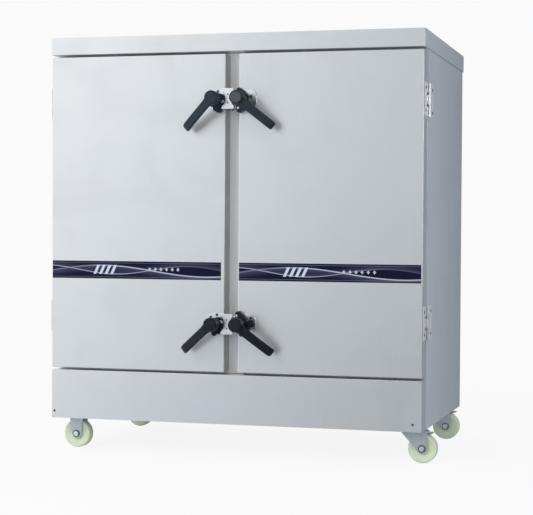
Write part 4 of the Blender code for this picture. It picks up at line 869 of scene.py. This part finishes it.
class CABINET_OT_casing(bpy.types.Operator):
    """Build the folded sheet casing: cap, side panels, base panel and centre post"""
    bl_idname = "cabinet.casing"
    bl_label = "Casing"

    def execute(self, context):
        fold, chassis_top = sizes().fold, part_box("chassis")[1].z
        cap = folded_sheet("top_cap_sheet", *CAP, fold,
                           lambda normal, middle: normal.z < -0.5 and middle.y > FRAME_Y,
                           slits=[(1, FRAME_Y)])
        cover("top_cap", cap, "case_level")
        # The cap's ends take the side sheet's painted shade
        tone_faces(cap, "side_sheet", lambda normal: abs(normal.x) > 0.9)
        # The side panels take the side sheet's painted shade, darker towards the back
        for side, sign in SIDES.items():
            node = side + "_side_panel"
            cover(node, folded_sheet(
                side + "_side_sheet", *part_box(node), fold,
                lambda normal, middle: (abs(normal.z) > 0.5 or normal.x * sign < -0.5
                                        or (abs(normal.y) > 0.5 and middle.z < chassis_top)),
                slits=[(2, chassis_top)]), "side_sheet")
        base = folded_sheet("base_front_sheet", *BASE, fold,
                            lambda normal, middle: normal.y > 0.5 or normal.z < -0.5)
        cover("base_front_panel", base, "case_upright")
        # The base panel's ends take the darker steel: painted shade
        tone_faces(base, "door_edge", lambda normal: abs(normal.x) > 0.9)
        low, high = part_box("centre_mullion")
        nose_low, nose_high = BASE[1].z + SEAT, CAP[0].z - SEAT
        parts = [folded_sheet("centre_post_part", (low.x, front_y, bottom), (high.x, high.y, top), fold,
                              lambda normal, middle: normal.y > 0.5)
                 for front_y, bottom, top in ((low.y, nose_low, nose_high),
                                              (FRAME_Y, low.z, nose_low - HAIR),
                                              (FRAME_Y, nose_high + HAIR, high.z))]
        # The post's near-white finish is painted light against the shade of its recess
        cover("centre_mullion", gathered("centre_post_sheet", parts), "post_steel")
        return {"FINISHED"}


class CABINET_OT_chambers(bpy.types.Operator):
    """Build the steam chambers with their runners and trays"""
    bl_idname = "cabinet.chambers"
    bl_label = "Chambers"

    def execute(self, context):
        racks, facings = [], []
        for side, sign in SIDES.items():
            low, high = self.lining(side, sign)
            for x, inward in ((low.x, 1), (high.x, -1)):
                racks.append((x - inward * SEAT, (low.y + high.y) / 2, low.z + RUNNER_PITCH))
                facings.append((inward, 0, 0))
        rack = node_piece("runner_racks", "runner_rack", "inner_across", racks, {
            "Count": round((high.z - low.z) / RUNNER_PITCH) - 1,
            "Length": high.y - low.y - RUNNERS_SHORT, **RUNNER}, facings)
        dress(rack, "inner_across", "cabinet", "inner_steel")
        for side, level in product(SIDES, LEVELS):
            self.tray("%s_%s_tray" % (side, level))
        return {"FINISHED"}

    def lining(self, side, sign):
        """One chamber's sheet, with a flange about its mouth and holes for the riser and the vent."""
        node = side + "_chamber_liner"
        outer, tray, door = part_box(node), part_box(side + "_lower_tray"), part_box(side + "_door_shell")
        low = Vector((tray[0].x - TRAY_ROOM, outer[0].y, door[0].z + SILL))
        high = Vector((tray[1].x + TRAY_ROOM, outer[1].y - LINING, door[1].z - SILL))
        middle = (low + high) / 2
        shape = box_shape(low, high)
        bmesh.ops.delete(shape, geom=[face for face in shape.faces if face.normal.y < -0.5],
                         context="FACES")
        turn_over(shape)
        round_edges(shape, sizes().chamber_corner, 4)
        rim = [edge for edge in shape.edges if len(edge.link_faces) == 1]
        for item in bmesh.ops.extrude_edge_only(shape, edges=rim)["geom"]:
            if isinstance(item, bmesh.types.BMVert):
                for axis in (0, 2):
                    item.co[axis] = outer[item.co[axis] >= middle[axis]][axis]
        point_out(shape)
        flange = [face for face in shape.faces if face.calc_center_median().y < low.y + 0.00001]
        if max(flange, key=lambda face: abs(face.normal.y)).normal.y > 0:
            turn_over(shape)
        bmesh.ops.remove_doubles(shape, verts=shape.verts[:], dist=0.00005)
        lining = settle(thicken(piece_from(side + "_chamber_sheet", shape), LINING))
        riser = (middle.x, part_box("water_tank")[0].y + RISER_BEHIND, low.z)
        vent = (low.x if sign > 0 else high.x, high.y - VENT_AHEAD,
                sum(corner.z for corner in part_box("steam_vent")) / 2)
        carve(lining, drill(RISER_HOLE, turned(riser)), drill(VENT_HOLE, turned(vent, (QUARTER, "Y"))))
        cover(node, lining, "inner_upright")
        return low, high

    def tray(self, node):
        """A pressed tray: rounded walls, a coved floor and a rim rolled over at its edge."""
        low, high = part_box(node)
        rim, corner, floor, top = TRAY_RIM, sizes().tray_corner, low.z, high.z
        sections = []
        for inset, z, radius in ((rim + 0.030, floor, corner), (rim + 0.006, floor, corner),
                                 (rim + 0.0022, floor + 0.0022, corner), (rim, floor + 0.008, corner),
                                 (rim, top - 0.003, corner), (rim - 0.0008, top - 0.0010, corner),
                                 (rim - 0.003, top - 0.0002, corner + 0.001),
                                 (0.0012, top - 0.0002, corner + rim), (0.0002, top - 0.0012, corner + rim)):
            outline = rounded_outline((low.x + inset, low.y + inset), (high.x - inset, high.y - inset),
                                      [radius] * 4, 6)
            sections.append([(x, y, z) for x, y in outline])
        shape, _ = ring_skin(sections)
        point_out(shape)
        if min(shape.faces, key=lambda face: face.calc_center_median().z).normal.z < 0:
            turn_over(shape)
        cover(node, thicken(piece_from(node + "_pressing", shape), TRAY_SHEET, 1), "inner_across")


class CABINET_OT_doors(bpy.types.Operator):
    """Build the doors' skins, inner panels and gaskets"""
    bl_idname = "cabinet.doors"
    bl_label = "Doors"

    def execute(self, context):
        width, foot = 0.016, 0.0030
        for side, sign in SIDES.items():
            node = side + "_door_shell"
            shell = folded_sheet(side + "_door_skin", *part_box(node), sizes().door_fold,
                                 lambda normal, middle: normal.y > 0.5, segments=4)
            cover(node, shell, "case_upright")
            # The door's outer side and its side into the seam take darker steel: painted shade
            for look, way in (("door_edge", sign), ("seam_edge", -sign)):
                tone_faces(shell, look, lambda normal: normal.x * way > 0.9)
            cover_copy(side + "_door_inner_panel", "inner_upright", 0.0022, 3)
            node = side + "_door_gasket"
            low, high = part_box(node)
            bulb = min(sizes().gasket_bulb, (high.y - low.y - foot * 0.8) / 2)
            place = ((low.x + high.x) / 2, low.y + foot / 2, (low.z + high.z) / 2)
            cover(node, node_piece(side + "_gasket_strip", "door_gasket", "silicone", [place], {
                "Width": high.x - low.x - width, "Height": high.z - low.z - width, "Corner": 0.012,
                "Bulb": bulb, "Foot Width": width - 0.0006, "Foot": foot}), "silicone")
        return {"FINISHED"}


class CABINET_OT_bands(bpy.types.Operator):
    """Lay the printed bands on the doors"""
    bl_idname = "cabinet.bands"
    bl_label = "Bands"

    def execute(self, context):
        for side, inset in (("left", 0.0135), ("right", 0.0065)):
            low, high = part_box(side + "_door_shell")
            x0, x1, z0, z1 = low.x + BAND_OUTSET, high.x - inset, BAND_FOOT, BAND_HEAD
            band = block(side + "_band_strip", (x0, low.y - sizes().band_sheet - HAIR, z0),
                         (x1, low.y - HAIR, z1))
            layer = band.data.uv_layers.new(name="band")
            for loop in band.data.loops:
                place = band.data.vertices[loop.vertex_index].co
                layer.data[loop.index].uv = ((place.x - x0) / (x1 - x0), (place.z - z0) / (z1 - z0))
            dress(band, "band_print", side + "_door", "case_steel")
        return {"FINISHED"}


class CABINET_OT_hinges(bpy.types.Operator):
    """Build the hinges: both leaves of each, their knuckles and their screws"""
    bl_idname = "cabinet.hinges"
    bl_label = "Hinges"

    def execute(self, context):
        screws = {}
        head_x = CASE_HALF + SEAT + HINGE_SHEET + 0.0004
        for (side, sign), level, leaf in product(SIDES.items(), LEVELS, ("case", "door")):
            node = "%s_%s_hinge_%s_leaf" % (side, level, leaf)
            cover_copy(node, "hinge_steel", 0.0007)
            low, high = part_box(node)
            middle_z, rise = (low.z + high.z) / 2, (high.z - low.z) * 0.34
            outer_y, inner_y = ((low.y + 0.013, low.y + 0.034) if leaf == "door"
                                else (high.y - 0.014, high.y - 0.046))
            screws.setdefault(BODY_OF[node], []).extend(
                ((MIDDLE_X + sign * head_x, y, middle_z + z), (sign, 0, 0))
                for y, z in ((outer_y, rise), (outer_y, -rise), (inner_y, rise / 2), (inner_y, -rise / 2)))
        for body, places in screws.items():
            fix_heads(body + "_hinge_screws", body, "hinge_steel", "dark_screw", places,
                      sizes().hinge_screw, 0.0012, crown=0.75)
        return {"FINISHED"}


class CABINET_OT_latches(bpy.types.Operator):
    """Build the latch plates with their posts and brackets, and the keepers between them"""
    bl_idname = "cabinet.latches"
    bl_label = "Latches"

    def execute(self, context):
        for side, sign in SIDES.items():
            screws, rivets = [], []
            for level in LEVELS:
                self.plate(side, level, sign, screws, rivets)
            body = side + "_door"
            fix_heads(side + "_latch_screws", body, "latch_zinc", "dark_screw", screws,
                      sizes().latch_screw, 0.0018)
            fix_heads(side + "_latch_rivets", body, "latch_zinc", "latch_zinc", rivets, 0.0052, 0.0020,
                      crown=0.55, slot_width=0.0)
        keeper_screws = [screw for level in LEVELS for screw in self.keeper(level)]
        fix_heads("keeper_screws", "cabinet", "latch_zinc", "dark_screw", keeper_screws,
                  sizes().keeper_screw, 0.0010, crown=0.6)
        return {"FINISHED"}

    def plate(self, side, level, sign, screws, rivets):
        """Build one plate with its post and bracket, and note the places of its screws and rivet."""
        node, body = "%s_%s_latch_plate" % (side, level), side + "_door"
        low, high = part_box(node)
        post, reach, half = latch_post(side, level), high.y - low.y, (high.z - low.z) / 2

        def seat(proud=0.0, right=0.0, up=0.0):
            return facing_front(post.x + right, high.y - proud, post.z + up)

        right, left = (LATCH_OUTER, LATCH_INNER) if sign > 0 else (LATCH_INNER, LATCH_OUTER)
        outline = rounded_outline((low.x - post.x, -half), (high.x - post.x, half),
                                  [right, left, left, right])
        metal = [slab(node + "_sheet", outline, LATCH_SHEET, seat(), 0.0009),
                 lathe(node + "_spindle", [(POST, 0.001), (POST, reach - 0.0006), (POST - 0.0006, reach)],
                       seat(), 28),
                 lathe(node + "_collar", [(COLLAR, 0.0025), (COLLAR, BRACKET_BACK)], seat(), 28)]
        cover(node, gathered(node + "_metal", metal), "latch_zinc")
        lobes = [slab(node + "_lobe", link_outline((0, 0), 0.0215, (x, z), tip), BRACKET,
                      seat(BRACKET_BACK), 0.0018) for x, z, tip in LOBES[side, level]]
        bracket = carve(lobes[0], *lobes[1:], operation="UNION")
        carve(bracket, drill(BRACKET_BORE, seat(BRACKET_BACK), 0.04))
        bracket.name = node + "_bracket"
        dress(bracket, "grip", body, "handle_black")
        rivets.append((seat(BRACKET_BACK + BRACKET + HAIR, *RIVETS[side, level]).translation, FRONT))
        up = 1 if level == "upper" else -1
        screws += [(seat(LATCH_SHEET + 0.0005, x, z).translation, FRONT)
                   for x, z in ((0.0255 * sign, 0.010 * up), (0.0280 * sign, -0.0205 * up),
                                (-0.006, 0.0285), (0.010 * sign, -0.0290))]
        if (side, level) == ("right", "lower"):
            boss = lathe(node + "_boss", [(0.0132, 0.0), (0.0132, 0.0150), (0.0118, 0.0165),
                                          (0.0060, 0.0170)], seat(0.0032, 0.0305, 0.0010), 28)
            dress(boss, "grip", body, "handle_black")

    def keeper(self, level):
        """Build one keeper, hollowed on both sides about the posts; returns its screws' places."""
        node = level + "_keeper"
        low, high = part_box(node)
        left, right = (latch_post(side, level) for side in SIDES)
        x, z = (left.x + right.x) / 2, left.z
        width, height, bay, away = KEEPER_HALF, (high.z - low.z) / 2, KEEPER_BAY, right.x - x
        rise = math.degrees(math.acos((away - width) / bay))
        outline = ([(width, -height)] + arc((away, 0), bay, 180 + rise, 180 - rise, 18)
                   + [(width, height), (-width, height)]
                   + arc((-away, 0), bay, rise, -rise, 18) + [(-width, -height)])
        parts = [slab(node + "_face", outline, 0.0040, facing_front(x, low.y + 0.0040, z), 0.0012, 3)]
        for name, front, back, half_x, half_z, edge in (
                ("_stem", low.y + 0.0035, high.y - 0.0015, 0.010, 0.022, 0.0015),
                ("_foot", high.y - 0.0030, high.y, 0.018, 0.033, 0.0010)):
            parts.append(block(node + name, (x - half_x, front, z - half_z), (x + half_x, back, z + half_z),
                               edge))
        cover(node, gathered(node + "_plated", parts), "latch_zinc")
        return [((x, low.y - 0.0002, z + rise_z), FRONT) for rise_z in (0.0145, -0.0145)]


class CABINET_OT_handles(bpy.types.Operator):
    """Build the moulded latch handles"""
    bl_idname = "cabinet.handles"
    bl_label = "Latch handles"

    def execute(self, context):
        for (side, sign), level in product(SIDES.items(), LEVELS):
            self.build(side, level, sign)
        return {"FINISHED"}

    def build(self, side, level, sign):
        node = "%s_%s_latch_handle" % (side, level)
        post, turn = latch_post(side, level), rest_turn(side, level)
        reach, disc = post.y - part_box(node)[0].y, sizes().hub_cap
        base = facing_front(*post, turn)
        top = [(0.0236, 0.0045), (0.0228, 0.0020), (0.0214, 0.0006), (disc + 0.0012, 0.0002),
               (disc + 0.0004, 0.0005), (disc + 0.0002, 0.0022), (0, 0.0022)]
        hub = lathe(node + "_hub", [*HUB_SIDE, *((radius, reach - down) for radius, down in top),
                                    (0, HUB_HOLLOW), (HUB_SIDE[0][0], HUB_HOLLOW)], base, 40, ring=True)
        cam_turn = math.radians(-sign * 42.0)
        cam_end = Vector((math.cos(cam_turn), math.sin(cam_turn))) * 0.034
        parts = [hub, self.arm(node, base),
                 slab(node + "_cam", link_outline((0, 0), 0.0172, cam_end, 0.0080), 0.0128,
                      facing_front(post.x, post.y - 0.0231, post.z, turn), 0.0016)]
        dress(gathered(node + "_moulding", parts), "grip", node, "handle_black", node)
        inlay = lathe(node + "_disc", [(disc, reach - 0.0040), (disc, reach - 0.0013),
                                       (disc - 0.0010, reach - 0.0007)], base, 40)
        # Only the right upper handle's disc takes the lighter finish, as a painted reflection; the others take the
        # grip
        dress(inlay, "grip_disc" if (side, level) == ("right", "upper") else "grip", node, "handle_black")

    def arm(self, node, base):
        """The arm: a rounded bar along a bent line, wider at its root and narrowed at its tip."""
        path = [Vector((ARM_LENGTH * along, -ARM_DROP * down)) for along, down in ARM_LINE]
        grip, stations, sections = sizes(), 26, []
        half_depth = grip.grip_depth / 2
        radius = min(grip.grip_edge, half_depth - 0.0002)
        for step in range(stations + 1):
            place, run = point_along(path, step / stations)
            root = max(0.0, 1 - place.x / 0.040)
            tip = max(0.0, (place.x - 0.139) / 0.007)
            half_width = grip.grip_width / 2 + 0.0045 * root * root * (3 - 2 * root) - 0.0022 * tip * tip
            ring = rounded_outline((-half_width, -half_depth), (half_width, half_depth), [radius] * 4, 4)
            sections.append([base @ Vector((place.x - run.y * depth, width,
                                            ARM_HEIGHT + place.y + run.x * depth))
                             for width, depth in ring])
        return soften(sweep(node + "_arm", sections), 0.0022, 2, 50)


def point_along(path, share):
    """A point and the heading at a share of the way along a smoothed path."""
    count = len(path) - 1
    spot = min(share * count, count - 1e-6)
    index = int(spot)
    t = spot - index
    before, start, end, after = (path[min(max(index + step, 0), count)] for step in (-1, 0, 1, 2))
    linear = end - before
    square = 2 * before - 5 * start + 4 * end - after
    cube = 3 * start - before - 3 * end + after
    place = 0.5 * (2 * start + linear * t + square * t ** 2 + cube * t ** 3)
    run = 0.5 * (linear + 2 * square * t + 3 * cube * t ** 2)
    return place, run.normalized()


class CABINET_OT_castors(bpy.types.Operator):
    """Build the castors: wheels, bolts, forks, plates and brake pedals"""
    bl_idname = "cabinet.castors"
    bl_label = "Castors"

    def execute(self, context):
        bolts = []
        for node in sorted(name for name in NODES if "_castor_" in name):
            if node.endswith("_wheel"):
                self.wheel(node)
            elif node.endswith("_axle"):
                cover_copy(node, "hinge_steel", 0.0010)
                # Dark rings by the axle heads: partly the fork legs' dark rims, partly painted shade
                self.washers(node)
            elif node.endswith("_brake_pedal"):
                cover_copy(node, "latch_zinc", 0.0008)
            else:
                cover_copy(node, "castor_zinc", 0.0011)
            if node.endswith("_plate") or (node.endswith("_fork") and "_left_" in node):
                low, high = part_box(node)
                bolts += [((x, y, high.z - CASTOR_PLATE - 0.0020), (0, 0, -1))
                          for x in (low.x + BOLT_INSET, high.x - BOLT_INSET)
                          for y in (low.y + BOLT_INSET, high.y - BOLT_INSET)]
        fix_heads("castor_bolts", "cabinet", "castor_zinc", "bright_screw", bolts, sizes().castor_bolt,
                  0.0040, crown=0.96, sides=6, slot_width=0.0)
        return {"FINISHED"}

    # Dark rings beside each axle's heads: they stand for the dark rims of the fork legs' tips and, as painted
    # shade, for the shadow of the wheel's hub
    def washers(self, node):
        low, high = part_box(node)
        middle, head, hole, edge, sheet = (low + high) / 2, 0.0050, 0.0098, 0.0132, 0.0008
        rings = [lathe(node + "_washer", [(hole, 0.0), (edge, 0.0), (edge, sheet), (hole, sheet)],
                       turned((middle.x, y, middle.z), (turn, "X")), 28, ring=True)
                 for y, turn in ((low.y + head, QUARTER), (high.y - head, -QUARTER))]
        dress(gathered(node + "_washers", rings), "dark_screw", BODY_OF[node], "castor_zinc")

    def wheel(self, node):
        """A moulded wheel: hub, hollowed disc and a tread with rounded shoulders."""
        low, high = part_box(node)
        radius, hub = (high.z - low.z) / 2, (high.y - low.y) / 2
        half, shoulder = TREAD_HALF, sizes().tread_round
        upper = ([(0.0056, hub), (0.0125, hub), (0.0135, hub - 0.0008)]
                 + [(r, half - down) for r, down in WHEEL_DISC]
                 + arc((radius - shoulder, half - shoulder), shoulder, 90, 0, 5))
        place = turned((low + high) / 2, (QUARTER, "X"))
        cover(node, lathe(node + "_moulding", upper + [(r, -z) for r, z in reversed(upper)], place, 56,
                          ring=True), "nylon")


class CABINET_OT_back_fittings(bpy.types.Operator):
    """Build the vent pipe, drain valve, lever and cable gland"""
    bl_idname = "cabinet.back_fittings"
    bl_label = "Back fittings"

    def execute(self, context):
        for node, look, edge in (("steam_vent", "inner_upright", 0.0006), ("drain_valve", "brass", 0.0007),
                                 ("drain_valve_lever", "lever", 0.0009), ("cable_gland", "gland", 0.0008)):
            cover_copy(node, look, edge)
        return {"FINISHED"}


class CABINET_OT_case_screws(bpy.types.Operator):
    """Set the casing's screws"""
    bl_idname = "cabinet.case_screws"
    bl_label = "Case screws"

    def execute(self, context):
        low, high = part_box("back_panel")
        rows, columns = 6, 6
        places = [((x, BASE[0].y - SEAT, 0.1385), FRONT) for x in (BASE[0].x + 0.0114, BASE[1].x - 0.0316)]
        spots = [(x, low.z + 0.045 + (high.z - low.z - 0.10) * row / (rows - 1))
                 for row in range(rows) for x in (low.x + 0.010, high.x - 0.010)]
        spots += [(low.x + (high.x - low.x) * column / columns, low.z + 0.012)
                  for column in range(1, columns)]
        places += [((x, high.y + SEAT, z), -FRONT) for x, z in spots]
        fix_heads("case_screws", "cabinet", "case_steel", "dark_screw", places, sizes().case_screw, 0.0016)
        return {"FINISHED"}


# The stage

def studio_light(name, place, target, side, power):
    lamp = link(name, put(bpy.data.lights.new(name, "AREA"), shape="SQUARE", size=side, energy=power))
    lamp.location = place
    lamp.rotation_euler = (Vector(target) - Vector(place)).to_track_quat("-Z", "Y").to_euler()
    return lamp


class CABINET_OT_stage(bpy.types.Operator):
    """Set up the floor, the backdrop, the lights and the camera"""
    bl_idname = "cabinet.stage"
    bl_label = "Stage"

    def execute(self, context):
        scene, studio = context.scene, context.scene.cabinet_studio
        scene.view_settings.view_transform = "Standard"
        self.world(scene, studio)
        self.floor(studio)
        key = studio_light("key_light", (-2.2, -3.2, 2.6), (0, 0, 0.7), 1.8, studio.key_power)
        key.visible_glossy = False
        studio_light("fill_light", (1.7, -4.2, 1.3), (0.1, 0, 0.7), 1.2, studio.fill_power)
        scene.camera = link("photo_camera", put(
            bpy.data.cameras.new("photo_camera"), lens=studio.lens, sensor_width=36, shift_x=-0.22442,
            shift_y=0.00532))
        place, yaw, pitch, roll = (1.53807, -4.64066, 0.76814), 0.23069, -0.01964, 0.0075
        scene.camera.matrix_world = turned(place, (yaw, "Z"), (QUARTER + pitch, "X"), (roll, "Z"))
        return {"FINISHED"}

    def world(self, scene, studio):
        """A pale backdrop for the camera, even light, and a room with a bright side for reflections."""
        scene.world = bpy.data.worlds.new("studio")
        scene.world.use_nodes = True
        tree = scene.world.node_tree
        tree.nodes.clear()
        x, y, z = split(result(tree, "ShaderNodeTexCoord", output="Generated"))
        slope = x * -2.47 + ramp(z, -0.27, 0.09, -0.60, 0.045)
        lowest = ramp(y, -0.3, 0.3, 0.06, studio.sky_low)
        level = slope.math("MAXIMUM", lowest).math("MINIMUM", studio.sky_high)
        ground = ramp(z, -0.12, -0.32, 0.0, studio.ground_glow) * ramp(x, -0.42, -0.16, 1.0, 0.25)
        level = level.math("MAXIMUM", ground)
        tone = blend(ramp(level, studio.sky_low, studio.sky_high, smooth=False),
                     (0.87, 0.98, 1.13, 1), (0.985, 1.0, 1.015, 1))
        room, even, shown = (result(tree, "ShaderNodeBackground", {"Color": tint, "Strength": strength})
                             for tint, strength in ((tone, level), ((0.97, 0.99, 1.0, 1), 0.62),
                                                    ((1, 1, 1, 1), studio.backdrop)))
        mirrored = ray(tree, "Is Glossy Ray").math("MAXIMUM", ray(tree, "Is Transmission Ray"))
        final = shared(ray(tree, "Is Camera Ray"), shared(mirrored, even, room), shown)
        add_node(tree, "ShaderNodeOutputWorld", {"Surface": final})

    def floor(self, studio):
        """A floor in the backdrop's tone, which shows little but the shadow."""
        half = studio.floor_size / 2
        shape = bmesh.new()
        shape.faces.new([shape.verts.new((x * half, y * half, 0)) for x, y in
                         ((-1, -1), (1, -1), (1, 1), (-1, 1))])
        floor = piece_from("studio_floor", shape)
        material, tree, shader = plain_material("studio_floor")
        tree.nodes.remove(shader)
        away = result(tree, "ShaderNodeVectorMath", {0: object_place(tree)}, "Value", operation="LENGTH")
        near = ramp(away, 1.1, 2.6, studio.floor_shade, 0.0)
        plain = result(tree, "ShaderNodeEmission", {
            "Color": (1, 1, 1, 1), "Strength": studio.backdrop - near * studio.floor_light})
        tone = result(tree, "ShaderNodeCombineColor", {0: near, 1: near, 2: near})
        paper, other = (result(tree, "ShaderNodeBsdfDiffuse", {"Color": tint})
                        for tint in (tone, (0.82, 0.82, 0.83, 1)))
        sheet = result(tree, "ShaderNodeAddShader", {0: plain, 1: paper})
        shared(ray(tree, "Is Camera Ray"), other, sheet).to(tree.nodes["Material Output"].inputs["Surface"])
        floor.data.materials.append(material)
        floor.visible_glossy = False


class CABINET_PT_sidebar(bpy.types.Panel):
    """Sizes, colours and pieces of the steam cabinet"""
    bl_idname = "CABINET_PT_sidebar"
    bl_label = "Steam Cabinet"
    bl_space_type = "VIEW_3D"
    bl_region_type = "UI"
    bl_category = "Steam Cabinet"

    def draw(self, context):
        for group in (context.scene.cabinet_sizes, context.scene.cabinet_colours,
                      context.scene.cabinet_studio):
            box = self.layout.box()
            for name in group.__annotations__:
                box.prop(group, name)
        for operator in OPERATORS:
            self.layout.operator(operator.bl_idname)


GROUPS = {"cabinet_sizes": CabinetSizes, "cabinet_colours": CabinetColours, "cabinet_studio": StudioSettings}
OPERATORS = (CABINET_OT_finishes, CABINET_OT_casing, CABINET_OT_chambers, CABINET_OT_doors,
             CABINET_OT_bands, CABINET_OT_hinges, CABINET_OT_latches, CABINET_OT_handles,
             CABINET_OT_castors, CABINET_OT_back_fittings, CABINET_OT_case_screws, CABINET_OT_stage)


def register():
    for item in (*GROUPS.values(), *OPERATORS, CABINET_PT_sidebar):
        bpy.utils.register_class(item)
    for name, group in GROUPS.items():
        setattr(bpy.types.Scene, name, PointerProperty(type=group))


def unregister():
    for name in GROUPS:
        delattr(bpy.types.Scene, name)
    for item in (CABINET_PT_sidebar, *reversed(OPERATORS), *reversed(list(GROUPS.values()))):
        bpy.utils.unregister_class(item)


def main():
    register()
    for operator in OPERATORS:
        family, name = operator.bl_idname.split(".")
        getattr(getattr(bpy.ops, family), name)()


if __name__ == "__main__":
    main()
